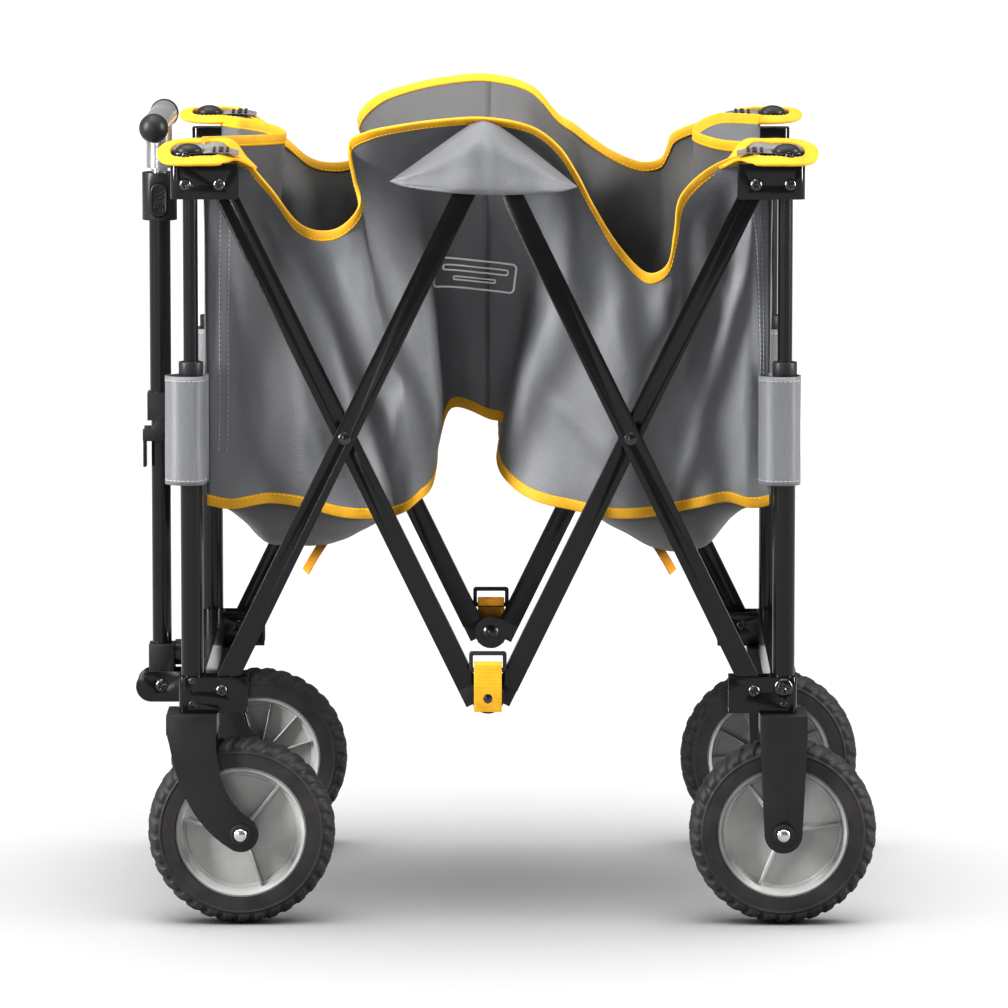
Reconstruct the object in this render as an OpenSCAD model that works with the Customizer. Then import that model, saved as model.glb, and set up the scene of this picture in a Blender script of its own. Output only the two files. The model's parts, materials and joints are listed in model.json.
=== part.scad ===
// Folding camp wagon in its half folded state. Telescoping corner posts are joined by a double
// scissor on each long side. A fabric bag hangs between them over front casters and rear wheels.
// X runs from the handle end to the rear, Y from the left side to the right, Z up from the ground.

/* [Frame] */
// Distance between the left and right post axes
track = 440; // [400:10:520]
// Angle of the scissor bars above the ground
bar_angle = 64; // [60:0.5:66]
// Bar length from a bracket rivet to the crossing rivet
bar_half = 267; // [262:1:275]
// Bar length from the crossing rivet to the centre hinge
bar_reach = 282; // [278:1:300]
// Distance from a bar's centre line to its centre hinge
hinge_offset = 12.5; // [12:0.5:16]
// Depth of a scissor bar
bar_depth = 20; // [16:1:22]
// Thickness of a scissor bar across the wagon
bar_thick = 10.5; // [8:0.5:10.5]
// Wall of the bars and tubes
tube_wall = 1.2; // [0.8:0.1:1.8]
// Outer radius of the fixed corner posts
post_r = 10.5; // [10:0.5:10.5]
// Outer radius of the sliding corner posts
slider_r = 7; // [6:0.5:8]

/* [Wheels] */
// Outer radius of the tyres
wheel_r = 89; // [80:1:90]
// Width of the tyres
wheel_w = 44; // [36:1:46]
// Outer radius of the hubs
hub_r = 62.5; // [50:0.5:65]
// Distance a front wheel trails behind its swivel axis
trail = 46; // [35:1:47]

/* [Handle] */
// Outer radius of the upper handle tube
handle_r = 10.3; // [10.3:0.1:11]
// Height of the grip axis above the ground
grip_z = 747; // [740:1:800]
// Length of the grip between its end caps
grip_len = 184; // [150:2:220]

/* [Bag] */
// Height of the bag's floor at the corners
floor_z = 396; // [380:1:420]
// Thickness of the fabric walls
cloth = 1.5; // [1:0.1:2]

/* [Hidden] */
$fn = 48;

// Heights and lengths of the posts and brackets
bracket_low_z = 203;
bracket_h = 34;
bracket_half = 14;
bracket_inner = 12;
rivet_inset = 28;
rivet_z = 224;
collar_top_z = 536;
collar_h = 15;
collar_plug = 16;
slider_low_z = 372;

// Scissor geometry, from the bar lengths and the angle
rise = bar_half * sin(bar_angle);
crossing_x = bar_reach * cos(bar_angle) + hinge_offset * sin(bar_angle);
crossing_z = rivet_z + rise;
hinge_rise = bar_reach * sin(bar_angle) - hinge_offset * cos(bar_angle);
rivet_x = crossing_x + bar_half * cos(bar_angle);
top_rivet_z = rivet_z + 2 * rise;
post_x = rivet_x + rivet_inset;
post_y = track / 2;
top_bracket_z = top_rivet_z - bracket_h / 2 + 3.3;
slider_top_z = top_bracket_z + bracket_h - 4;

// Layers of the bars across the wagon, measured from the middle
layer_gap = 1;
outer_y = post_y + layer_gap;
inner_y = post_y - layer_gap - bar_thick;
bar_end = 9;
knuckle_r = 16;
knuckle_gap = 17;
knuckle_t = bar_thick / 2 - 0.25;

// Pins and screws, the running clearance round a pin, and the wider one at the open pivot
pin_r = 3;
bolt_r = 4;
run = 0.05;
open_run = 0.1;
screw_head_r = 6;
screw_head_h = 2.8;
second_screw_x = -4;
plate_screw_r = 2;
plate_screw_heights = [8, 30];
plain_hole_r = 1.2;

// Wheels and forks
axle_r = 5;
king_r = 6;
king_h = 36;
leg_in = 26;
leg_t = 4;
crown_z = 184;
crown_h = 18.5;
crown_half = 24;
leg_end_r = 17;
rear_crown_half = 22.5;
rear_leg_end_r = 18;

// Outlines of the tyre and the hub
rim_half = 18;
rim_wall = 6;
boss_r = 13;
disc_t = 6;
oval_r = 76 / 89 * wheel_r;

// Handle
handle_reach = 40;
handle_x = -(post_x + handle_reach);
handle_pivot_z = 196;
lower_r = handle_r - 1;
rod_r = 8;
grip_r = 13;
cap_r = 14;
housing_r = 16.8;
housing_z = 651;
housing_h = 46;
button_w = 17;
button_h = 34;
button_out = 17.6;
button_in = 13;
button_travel = 2;
lever_z = 448.7;
lever_out = 16;
clamp_z = 456;
clamp_h = 27;
cheek_t = 2.5;
cheek_z = 180;
cheek_y = 16.5;
socket_floor_z = 206;
thin_wall = 0.9;

// The frame's origin is under the middle of the whole wagon
nose = 25;
hinge_x = ((-handle_x + nose) - (post_x + wheel_r)) / 2;

module centre() { translate([hinge_x, 0, 0]) children(); }
module front() { centre() children(); }
module rear() { translate([hinge_x, 0, 0]) mirror([1, 0, 0]) children(); }
module left() { mirror([0, 1, 0]) children(); }
module both_sides() {
    children();
    mirror([0, 1, 0]) children();
}
module at_post() { translate([-post_x, post_y, 0]) children(); }

// ---- Shared shapes ----
module tube(r, wall, h) {
    difference() {
        cylinder(r = r, h = h);
        translate([0, 0, -1]) cylinder(r = r - wall, h = h + 2);
    }
}

// A cylinder along Y from y0 to y1
module y_rod(r, y0, y1) {
    translate([0, y0, 0]) rotate([-90, 0, 0]) cylinder(r = r, h = y1 - y0);
}

// A domed screw head whose flat side lies on y, facing +Y
module dome_head(r, h, y) {
    ball_r = (r * r + h * h) / (2 * h);
    translate([0, y, 0]) rotate([-90, 0, 0]) intersection() {
        translate([0, 0, h - ball_r]) sphere(r = ball_r);
        cylinder(r = r, h = h);
    }
}

// A pin along Y with a domed head at each end
module headed_pin(r, y0, y1, head_r, head_h) {
    y_rod(r, y0, y1);
    dome_head(head_r, head_h, y1);
    translate([0, y0, 0]) mirror([0, 1, 0]) dome_head(head_r, head_h, 0);
}

// A block around a post with two rounded corners on its outer end
module bracket_block(nose_len, tail_len, corner) {
    translate([corner - nose_len, -bracket_half, 0])
        cube([nose_len + tail_len - corner, 2 * bracket_half, bracket_h]);
    translate([-nose_len, corner - bracket_half, 0])
        cube([corner + 1, 2 * (bracket_half - corner), bracket_h]);
    for (s = [-1, 1])
        translate([corner - nose_len, s * (bracket_half - corner), 0])
            cylinder(r = corner, h = bracket_h);
}

// ---- Posts ----
module posts() {
    low = bracket_low_z + 3;
    color("#1c1b1d") both_sides() at_post() translate([0, 0, low])
        tube(post_r, tube_wall, collar_top_z - collar_h - low);
}
module sliders() {
    color("#19181a") both_sides() at_post() translate([0, 0, slider_low_z])
        tube(slider_r, tube_wall, slider_top_z - slider_low_z);
}
module collars() {
    shoulder_z = collar_top_z - collar_h;
    color("#2a292b") both_sides() at_post() difference() {
        union() {
            translate([0, 0, shoulder_z]) cylinder(r = 11.6, h = collar_h);
            translate([0, 0, shoulder_z - collar_plug])
                cylinder(r = post_r - tube_wall, h = collar_plug + 1);
        }
        translate([0, 0, shoulder_z - collar_plug - 1])
            cylinder(r = slider_r + 0.1, h = collar_h + collar_plug + 2);
    }
}

// ---- Brackets ----
module top_brackets() {
    nose_len = 18;
    tail_len = 45;
    color("#262527") both_sides() at_post() translate([0, 0, top_bracket_z]) difference() {
        bracket_block(nose_len, tail_len, 7);
        translate([0, 0, -1]) cylinder(r = slider_r, h = bracket_h - 3);
        translate([slider_r + 4, -bracket_inner, -1])
            cube([tail_len, 2 * bracket_inner, bracket_h - 2]);
        translate([rivet_inset, 0, top_rivet_z - top_bracket_z]) y_rod(pin_r, -20, 20);
        translate([second_screw_x, 0, top_rivet_z - top_bracket_z])
            for (s = [0, 1]) mirror([0, s, 0]) y_rod(pin_r, 10, 20);
    }
}
module bottom_brackets(middle_hole_r) {
    tail_len = 52;
    color("#2e2e31") both_sides() at_post() translate([0, 0, bracket_low_z]) difference() {
        bracket_block(post_r + 2, tail_len, 6);
        translate([0, 0, 3]) cylinder(r = post_r, h = bracket_h);
        translate([0, 0, -1]) cylinder(r = king_r + open_run, h = 6);
        translate([post_r + 2, -bracket_inner, 3])
            cube([tail_len, 2 * bracket_inner, bracket_h]);
        translate([rivet_inset, 0, rivet_z - bracket_low_z]) y_rod(pin_r, -20, 20);
        for (z = plate_screw_heights) translate([0, 0, z]) y_rod(plate_screw_r, 11, 20);
        translate([0, 0, rivet_z - bracket_low_z]) y_rod(middle_hole_r, 11, 20);
    }
}
module crossbar() {
    half = post_y - bracket_half;
    color("#232224") difference() {
        translate([-post_x - 12, -half, bracket_low_z]) cube([24, 2 * half, 37]);
        translate([-post_x - 10, -half - 1, bracket_low_z - 1]) cube([20, 2 * half + 2, 36]);
    }
}

// ---- Scissor bars ----
// A bar in its own frame: X along it from the crossing, Y across the wagon, Z its depth
module bar(cross_run) {
    far = bar_reach - knuckle_gap;
    difference() {
        translate([-bar_half - bar_end, 0, -bar_depth / 2])
            cube([bar_half + bar_end + far, bar_thick, bar_depth]);
        translate([-bar_half - bar_end - 1, tube_wall, tube_wall - bar_depth / 2])
            cube([bar_half + bar_end + far + 2, bar_thick - 2 * tube_wall, bar_depth - 2 * tube_wall]);
        translate([-bar_half, 0, 0]) y_rod(pin_r + run, -1, bar_thick + 1);
        y_rod(pin_r + cross_run, -1, bar_thick + 1);
    }
}
// A plastic bar end: a plug in the bar and a disc of half the bar's thickness round the hinge
module knuckle(side, low_y, bore) {
    far = bar_reach - knuckle_gap;
    plug = bar_depth - 2 * tube_wall;
    difference() {
        union() {
            translate([far - 20, tube_wall, -plug / 2])
                cube([20.3, bar_thick - 2 * tube_wall, plug]);
            translate([far, low_y, -bar_depth / 2]) cube([knuckle_gap, knuckle_t, bar_depth]);
            translate([bar_reach, 0, side * hinge_offset])
                y_rod(knuckle_r, low_y, low_y + knuckle_t);
        }
        translate([bar_reach, 0, side * hinge_offset]) y_rod(bore, -1, bar_thick + 1);
    }
}
module at_crossing(y, turn) {
    translate([-crossing_x, y, crossing_z]) rotate([0, turn, 0]) children();
}
module rising_bars() {
    color("#1b1a1c") both_sides() at_crossing(outer_y, -bar_angle) bar(run);
}
module falling_bars() {
    color("#1b1a1c") both_sides() at_crossing(inner_y, bar_angle) bar(0);
}
module top_knuckles(low_y, bore) {
    color("#2b2b2e") both_sides() at_crossing(outer_y, -bar_angle) knuckle(-1, low_y, bore);
}
module bottom_knuckles(low_y, bore) {
    color("#2b2b2e") both_sides() at_crossing(inner_y, bar_angle) knuckle(1, low_y, bore);
}
module crossing_rivets() {
    color("#3a3a3c") both_sides() translate([-crossing_x, 0, crossing_z]) {
        headed_pin(pin_r, inner_y, outer_y + bar_thick + 0.2, 6, 2);
        difference() {
            y_rod(7, inner_y + bar_thick, outer_y - 0.2);
            y_rod(pin_r, inner_y, outer_y);
        }
    }
}

// ---- Centre hinges ----
module top_hinge_pins() {
    color("#3a3a3c") centre() both_sides() translate([0, 0, crossing_z + hinge_rise])
        headed_pin(bolt_r, outer_y - 0.4, outer_y + bar_thick + 0.4, 7, 1.6);
}
module bottom_hinge_bolts() {
    color("#4a4a4d") centre() both_sides() translate([0, 0, crossing_z - hinge_rise])
        headed_pin(bolt_r, inner_y - 0.4, strap_out_y, 7.5, 2.6);
}
strap_w = 27;
strap_t = 1.4;
strap_in_y = inner_y + bar_thick + 0.4;
ring_y = strap_in_y + strap_t;
strap_front_y = ring_y + 2.8;
strap_out_y = strap_front_y + strap_t;
strap_low_z = 202;
strap_top_z = 252;
ring_z = 240.5;
ring_t = 2.6;
ring_corner = 14.8;
module hinge_straps() {
    color("#f5c400") centre() both_sides() difference() {
        union() {
            translate([-strap_w / 2, strap_in_y, strap_low_z + 4])
                cube([strap_w, 1.2, strap_top_z - strap_low_z - 4]);
            translate([-strap_w / 2, strap_in_y, strap_top_z - strap_t])
                cube([strap_w, strap_out_y - strap_in_y, strap_t]);
            translate([-strap_w / 2, strap_front_y, strap_low_z])
                cube([strap_w, strap_t, strap_top_z - strap_low_z]);
        }
        translate([0, 0, crossing_z - hinge_rise]) y_rod(bolt_r, post_y - 5, post_y + 20);
    }
}
module strap_rings() {
    bar_h = 4;
    color("#2f2e30") centre() both_sides() translate([0, ring_y, ring_z]) difference() {
        union() {
            translate([-ring_corner - 3, 0, 3]) cube([2 * ring_corner + 6, ring_t, 14]);
            translate([-ring_corner, 0, 0]) cube([2 * ring_corner, ring_t, 20]);
            for (x = [-ring_corner, ring_corner], z = [3, 17])
                translate([x, 0, z]) y_rod(3, 0, ring_t);
        }
        translate([-strap_w / 2 - 0.6, -1, bar_h]) cube([strap_w + 1.2, 5, 20 - 2 * bar_h]);
    }
}

// ---- Fasteners at the brackets ----
module pivot_screws(z) {
    translate([rivet_inset, 0, z]) {
        y_rod(pin_r, -bracket_half, bracket_half);
        y_rod(5.5, -bracket_half - 1.2, -bracket_half);
        dome_head(screw_head_r, screw_head_h, bracket_half);
    }
}
module lower_screws(middle_r) {
    color("#5b5a5c") both_sides() at_post() {
        pivot_screws(rivet_z);
        for (z = plate_screw_heights) translate([0, 0, bracket_low_z + z]) {
            y_rod(plate_screw_r, 11, bracket_half);
            dome_head(3.2, 0.8, bracket_half);
        }
        if (middle_r > plain_hole_r) translate([0, 0, rivet_z]) {
            y_rod(middle_r, 11, bracket_half);
            dome_head(screw_head_r, screw_head_h, bracket_half);
        }
    }
}
// Two screws on each bracket, and a domed cap that buttons the fabric flap to the bracket's top
module upper_screws() {
    color("#5b5a5c") both_sides() at_post() {
        pivot_screws(top_rivet_z);
        translate([second_screw_x, 0, top_rivet_z]) for (s = [0, 1]) mirror([0, s, 0]) {
            y_rod(pin_r, 10, bracket_half);
            dome_head(screw_head_r, screw_head_h, bracket_half);
        }
        translate([-3, 0, flap_z + flap_t]) rotate([90, 0, 0]) {
            y_rod(15, 0, 1.2);
            dome_head(11, 6, 1.2);
        }
    }
}

// ---- Wheels ----
module fork_legs() {
    for (s = [0, 1]) mirror([0, s, 0]) translate([0, leg_in + leg_t, 0]) rotate([90, 0, 0])
        linear_extrude(leg_t) children();
}
module crown(half_x) {
    difference() {
        translate([-half_x, -leg_in - leg_t, crown_z])
            cube([2 * half_x, 2 * (leg_in + leg_t), crown_h]);
        translate([0, 0, crown_z - 1]) cylinder(r = king_r, h = crown_h + 2);
    }
}
// Centre line of the curved caster leg, and half its width, for t from 0 to 1
function leg_point(t) = [2 * t * (1 - t) * 4 + t * t * trail,
    (1 - t) * (1 - t) * (crown_z + 4) + 2 * t * (1 - t) * 116 + t * t * wheel_r];
function leg_slope(t) = [2 * (1 - 2 * t) * 4 + 2 * t * trail,
    -2 * (1 - t) * (crown_z + 4) + 2 * (1 - 2 * t) * 116 + 2 * t * wheel_r];
function leg_edge(t, side) =
    let (d = leg_slope(t) / norm(leg_slope(t)), w = crown_half + (leg_end_r - crown_half) * sqrt(t))
    leg_point(t) + side * w * [-d[1], d[0]];
leg_steps = [for (i = [0:12]) i / 12];
module curved_leg() {
    difference() {
        union() {
            polygon(concat([for (t = leg_steps) leg_edge(t, 1)],
                [for (t = leg_steps) leg_edge(1 - t, -1)]));
            translate([trail, wheel_r]) circle(r = leg_end_r);
        }
        translate([trail, wheel_r]) circle(r = axle_r);
        translate([-50, crown_z]) square([100, 20]);
    }
}
module caster_fork() {
    color("#333335") at_post() {
        crown(crown_half);
        fork_legs() curved_leg();
    }
}
module straight_leg() {
    difference() {
        union() {
            polygon([[-rear_crown_half, crown_z], [rear_crown_half, crown_z],
                [rear_leg_end_r, wheel_r], [-rear_leg_end_r, wheel_r]]);
            translate([0, wheel_r]) circle(r = rear_leg_end_r);
        }
        translate([0, wheel_r]) circle(r = axle_r);
    }
}
module rear_fork() {
    color("#333335") both_sides() at_post() {
        crown(rear_crown_half);
        fork_legs() straight_leg();
    }
}
// An axle bolt with a nut at each end
module axle_bolt(x) {
    half = leg_in + leg_t;
    translate([x, 0, wheel_r]) {
        y_rod(axle_r, -half, half);
        for (s = [0, 1]) mirror([0, s, 0]) translate([0, half, 0]) rotate([-90, 0, 0]) {
            cylinder(r = 8, h = 4, $fn = 6);
            translate([0, 0, 4]) cylinder(r = 4, h = 2);
        }
    }
}
module kingpin() { translate([0, 0, crown_z]) cylinder(r = king_r, h = king_h); }
module caster_bolts() {
    color("#8c8c90") at_post() {
        axle_bolt(trail);
        kingpin();
    }
}
module rear_bolts() {
    color("#8c8c90") both_sides() at_post() {
        axle_bolt(0);
        kingpin();
    }
}
// Half outline of the tyre: a flattened oval above the rim
function tyre_point(a) = [
    oval_r + (wheel_r - oval_r) * pow(abs(sin(a)), 0.7) * sign(sin(a)),
    wheel_w / 2 * pow(abs(cos(a)), 0.7) * sign(cos(a))];
module tyre(x) {
    color("#39393b") translate([x, 0, wheel_r]) rotate([90, 0, 0]) rotate_extrude()
        polygon(concat([[hub_r, rim_half]], [for (i = [0:12]) tyre_point(15 * i)],
            [[hub_r, -rim_half]]));
}
// Ribs spread evenly over one side of the hub's disc
module hub_ribs(count, thick, start) {
    for (k = [0:count - 1]) rotate([0, 0, 360 / count * k + start])
        translate([0, -thick / 2, 0]) cube([hub_r - 3, thick, 9]);
}
module hub(x) {
    color("#a9aaac") translate([x, 0, wheel_r]) rotate([90, 0, 0]) difference() {
        union() {
            translate([0, 0, -leg_in + 0.5]) cylinder(r = boss_r, h = 2 * leg_in - 1);
            translate([0, 0, -disc_t / 2]) cylinder(r = hub_r - 3, h = disc_t);
            mirror([0, 0, 1]) hub_ribs(3, 5, 50);
            hub_ribs(12, 1.8, 17);
            difference() {
                translate([0, 0, -rim_half]) cylinder(r = hub_r, h = 2 * rim_half);
                translate([0, 0, -rim_half - 1]) cylinder(r = hub_r - rim_wall, h = 2 * rim_half + 2);
            }
        }
        translate([0, 0, -leg_in - 1]) cylinder(r = axle_r + run, h = 2 * leg_in + 2);
    }
}

// ---- Handle ----
module handle_bracket() {
    back_x = -(post_x + 12);
    color("#2c2b2d") centre() {
        translate([back_x - cheek_t, -20, cheek_z]) cube([cheek_t, 40, 60]);
        translate([back_x - cheek_t, 0, 227]) rotate([0, -90, 0])
            cylinder(r = 12.5, h = back_x - 3 - handle_x - 12.5);
        for (y = [-cheek_y, cheek_y - cheek_t]) difference() {
            union() {
                translate([handle_x - 10, y, cheek_z])
                    cube([back_x - handle_x + 10 - cheek_t, cheek_t, 30]);
                translate([handle_x - 10, 0, cheek_z + 15]) y_rod(15, y, y + cheek_t);
            }
            translate([handle_x, 0, handle_pivot_z]) y_rod(bolt_r, -20, 20);
        }
    }
}
module handle_pivot_bolt() {
    color("#5b5a5c") translate([handle_x, 0, handle_pivot_z])
        headed_pin(bolt_r, -cheek_y, cheek_y, 6.5, screw_head_h);
}
module handle_socket() {
    color("#2a292b") centre() translate([handle_x, 0, 0]) difference() {
        translate([-12.5, -13.7, 184]) cube([25, 27.4, 52]);
        translate([0, 0, socket_floor_z]) cylinder(r = lower_r, h = 40);
        translate([0, 0, handle_pivot_z]) y_rod(bolt_r + run, -20, 20);
    }
}
module handle_lower_tube() {
    color("#171618") centre() translate([handle_x, 0, socket_floor_z])
        tube(lower_r, thin_wall, 482);
}
module handle_upper_tube() {
    low = clamp_z + 2;
    color("#171618") centre() translate([handle_x, 0, low])
        tube(handle_r, thin_wall, housing_z + housing_h - 7 - low);
}
module button_outline(grow) {
    r = button_w / 2 + grow;
    straight = button_h / 2 - button_w / 2;
    for (z = [-straight, straight]) translate([0, 0, z]) y_rod(r, -button_out, -button_in);
    translate([-r, -button_out, -straight]) cube([2 * r, button_out - button_in, 2 * straight]);
}
button_z = housing_z + 20;
module handle_lock_housing() {
    color("#242325") centre() translate([handle_x, 0, 0]) difference() {
        translate([0, 0, housing_z]) cylinder(r = housing_r, h = housing_h);
        translate([0, 0, housing_z - 1]) cylinder(r = handle_r, h = housing_h - 6);
        translate([0, 0, housing_z]) cylinder(r = rod_r + run, h = housing_h + 1);
        translate([0, 0, button_z]) {
            button_outline(0.3);
            translate([0, button_travel + 0.1, 0]) button_outline(0.3);
        }
    }
}
module handle_lock_button() {
    color("#2f2e30") centre() translate([handle_x, 0, button_z]) button_outline(0);
}
module handle_stem() {
    color("#202022") centre() translate([handle_x, 0, 0]) {
        translate([0, 0, 470]) tube(rod_r, 1, 232);
        difference() {
            translate([0, 0, 701.5]) cylinder(r = 12.4, h = grip_z - 701.5);
            translate([0, 0, grip_z]) y_rod(grip_r, -20, 20);
        }
    }
}
module handle_grip() {
    color("#232224") centre() translate([handle_x, 0, grip_z])
        y_rod(grip_r, -grip_len / 2, grip_len / 2);
}
module grip_end_caps() {
    color("#2b2a2c") centre() both_sides() translate([handle_x, 0, grip_z]) difference() {
        translate([0, grip_len / 2 + 8, 0]) sphere(r = cap_r);
        translate([-20, grip_len / 2 - 20, -20]) cube([40, 20, 40]);
    }
}
module clamp_block() {
    color("#252426") centre() translate([handle_x, 0, 0]) difference() {
        union() {
            translate([-12.5, -13, clamp_z]) cube([25, 26, clamp_h]);
            for (y = [-13, 10.4]) {
                translate([-6, y, 445]) cube([12, 2.6, 12]);
                translate([0, 0, lever_z]) y_rod(6.4, y, y + 2.6);
            }
        }
        translate([0, 0, 440]) cylinder(r = handle_r, h = 50);
        translate([0, 0, lever_z]) y_rod(2.5 + run, -20, 20);
    }
}
module clamp_lever() {
    color("#1f1e20") centre() translate([handle_x, 0, 0]) {
        for (s = [0, 1]) mirror([0, s, 0]) {
            translate([0, 0, lever_z]) {
                y_rod(2.5, 10.5, 14);
                y_rod(6.5, 13.3, lever_out);
            }
            translate([-17, 13.3, 436]) cube([20, lever_out - 13.3, 12]);
        }
        translate([-17, -lever_out, 436]) cube([4.2, 2 * lever_out, 8]);
        translate([-17, -9, 410]) cube([3, 18, 27]);
    }
}

// ---- Bag ----
bag_y = post_y - 15.6;
bag_x = post_x - 11.5;
strip_w = 25;
bag_top_z = 733;
sleeve_r = 15;
sleeve_z = 416;
sleeve_h = 104;
flap_z = top_bracket_z + bracket_h + 0.5;
flap_t = 3;
// Rigid end of the bag: end wall, corner strips, post sleeves and the flaps over the brackets
module bag_end() {
    wall_h = bag_top_z - floor_z;
    color("#85888d") {
        difference() {
            translate([-bag_x, -bag_y, floor_z]) cube([strip_w, 2 * bag_y, wall_h]);
            translate([cloth - bag_x, cloth - bag_y, floor_z + cloth])
                cube([strip_w, 2 * (bag_y - cloth), wall_h]);
        }
        both_sides() at_post() {
            translate([0, 0, sleeve_z]) tube(sleeve_r, 1.3, sleeve_h);
            translate([-12, -bracket_half, flap_z]) cube([50, 2 * bracket_half, flap_t]);
            translate([-12, 0, flap_z]) cylinder(r = bracket_half, h = flap_t);
        }
    }
}
// Soft half of the bag: two side walls that bow in towards the middle, and half the floor
bow = 105;
function bow_y(x) = bag_y - 0.5 - bow * pow(sin(90 * x), 2);
bow_steps = [for (i = [0:10]) i / 10];
wall_start = bag_x - strip_w - 1.5;
module bag_half() {
    outer = [for (t = bow_steps) [-wall_start * (1 - t) - 1.5 * t, bow_y(t)]];
    inner = [for (p = outer) p - [0, cloth]];
    left = [for (i = [len(outer) - 1:-1:0]) [outer[i][0], -outer[i][1]]];
    color("#75787d") {
        both_sides() translate([0, 0, floor_z + cloth]) linear_extrude(bag_top_z - floor_z - cloth)
            polygon(concat(outer, [for (i = [len(inner) - 1:-1:0]) inner[i]]));
        translate([0, 0, floor_z]) linear_extrude(cloth) polygon(concat(outer, left));
    }
}
// Triangular pocket over each top centre hinge, with the roof that joins it to the bag
module top_pockets() {
    side_y = outer_y + bar_thick + 3;
    color("#8b8e93") centre() both_sides() {
        translate([0, side_y + 2, 0]) rotate([90, 0, 0]) linear_extrude(2)
            polygon([[-78, 707], [-30, 698], [30, 698], [78, 707], [45, 748], [0, 768], [-45, 748]]);
        translate([-40, bag_y - 2, 765]) cube([80, side_y - bag_y + 4, 3]);
        translate([-40, side_y, 750]) cube([80, 2, 18]);
    }
}

// ---- Sub-parts, each in its place ----
module front_posts() { front() posts(); }
module rear_posts() { rear() posts(); }
module front_sliders() { front() sliders(); }
module rear_sliders() { rear() sliders(); }
module front_collars() { front() collars(); }
module rear_collars() { rear() collars(); }
module front_top_brackets() { front() top_brackets(); }
module rear_top_brackets() { rear() top_brackets(); }
module front_bottom_brackets() { front() bottom_brackets(plain_hole_r); }
module rear_bottom_brackets() { rear() bottom_brackets(pin_r); }
module front_crossbar() { front() crossbar(); }
module rear_crossbar() { rear() crossbar(); }
module front_rising_bars() { front() rising_bars(); }
module rear_rising_bars() { rear() rising_bars(); }
module front_falling_bars() { front() falling_bars(); }
module rear_falling_bars() { rear() falling_bars(); }
module front_top_knuckles() { front() top_knuckles(bar_thick - knuckle_t, bolt_r + run); }
module rear_top_knuckles() { rear() top_knuckles(0, bolt_r + run); }
module front_bottom_knuckles() { front() bottom_knuckles(bar_thick - knuckle_t, bolt_r + run); }
module rear_bottom_knuckles() { rear() bottom_knuckles(0, bolt_r + open_run); }
module front_lower_screws() {
    front() lower_screws(plain_hole_r);
    centre() handle_pivot_bolt();
}
module rear_lower_screws() { rear() lower_screws(pin_r); }
module front_upper_screws() { front() upper_screws(); }
module rear_upper_screws() { rear() upper_screws(); }
module front_crossing_rivets() { front() crossing_rivets(); }
module rear_crossing_rivets() { rear() crossing_rivets(); }
module front_left_fork() { front() left() caster_fork(); }
module front_right_fork() { front() caster_fork(); }
module rear_forks() { rear() rear_fork(); }
module front_left_caster_bolts() { front() left() caster_bolts(); }
module front_right_caster_bolts() { front() caster_bolts(); }
module rear_axle_bolts() { rear() rear_bolts(); }
module front_left_tyre() { front() left() at_post() tyre(trail); }
module front_right_tyre() { front() at_post() tyre(trail); }
module rear_left_tyre() { rear() left() at_post() tyre(0); }
module rear_right_tyre() { rear() at_post() tyre(0); }
module front_left_hub() { front() left() at_post() hub(trail); }
module front_right_hub() { front() at_post() hub(trail); }
module rear_left_hub() { rear() left() at_post() hub(0); }
module rear_right_hub() { rear() at_post() hub(0); }
module bag_front_end() { front() bag_end(); }
module bag_rear_end() { rear() bag_end(); }
module bag_front_half() { front() bag_half(); }
module bag_rear_half() { rear() bag_half(); }

front_posts();
rear_posts();
front_sliders();
rear_sliders();
front_collars();
rear_collars();
front_top_brackets();
rear_top_brackets();
front_bottom_brackets();
rear_bottom_brackets();
front_crossbar();
rear_crossbar();
front_rising_bars();
front_falling_bars();
rear_rising_bars();
rear_falling_bars();
front_top_knuckles();
rear_top_knuckles();
front_bottom_knuckles();
rear_bottom_knuckles();
top_hinge_pins();
bottom_hinge_bolts();
strap_rings();
hinge_straps();
front_lower_screws();
rear_lower_screws();
front_upper_screws();
rear_upper_screws();
front_crossing_rivets();
rear_crossing_rivets();
handle_bracket();
handle_socket();
handle_lower_tube();
handle_upper_tube();
handle_lock_housing();
handle_lock_button();
handle_stem();
handle_grip();
grip_end_caps();
clamp_block();
clamp_lever();
front_left_fork();
front_right_fork();
rear_forks();
front_left_caster_bolts();
front_right_caster_bolts();
rear_axle_bolts();
front_left_tyre();
front_right_tyre();
rear_left_tyre();
rear_right_tyre();
front_left_hub();
front_right_hub();
rear_left_hub();
rear_right_hub();
bag_front_end();
bag_rear_end();
bag_front_half();
bag_rear_half();
top_pockets();
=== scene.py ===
import json
import math

import bmesh
import bpy
import numpy as np
from mathutils import Matrix, Vector, noise
from mathutils.bvhtree import BVHTree

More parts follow.
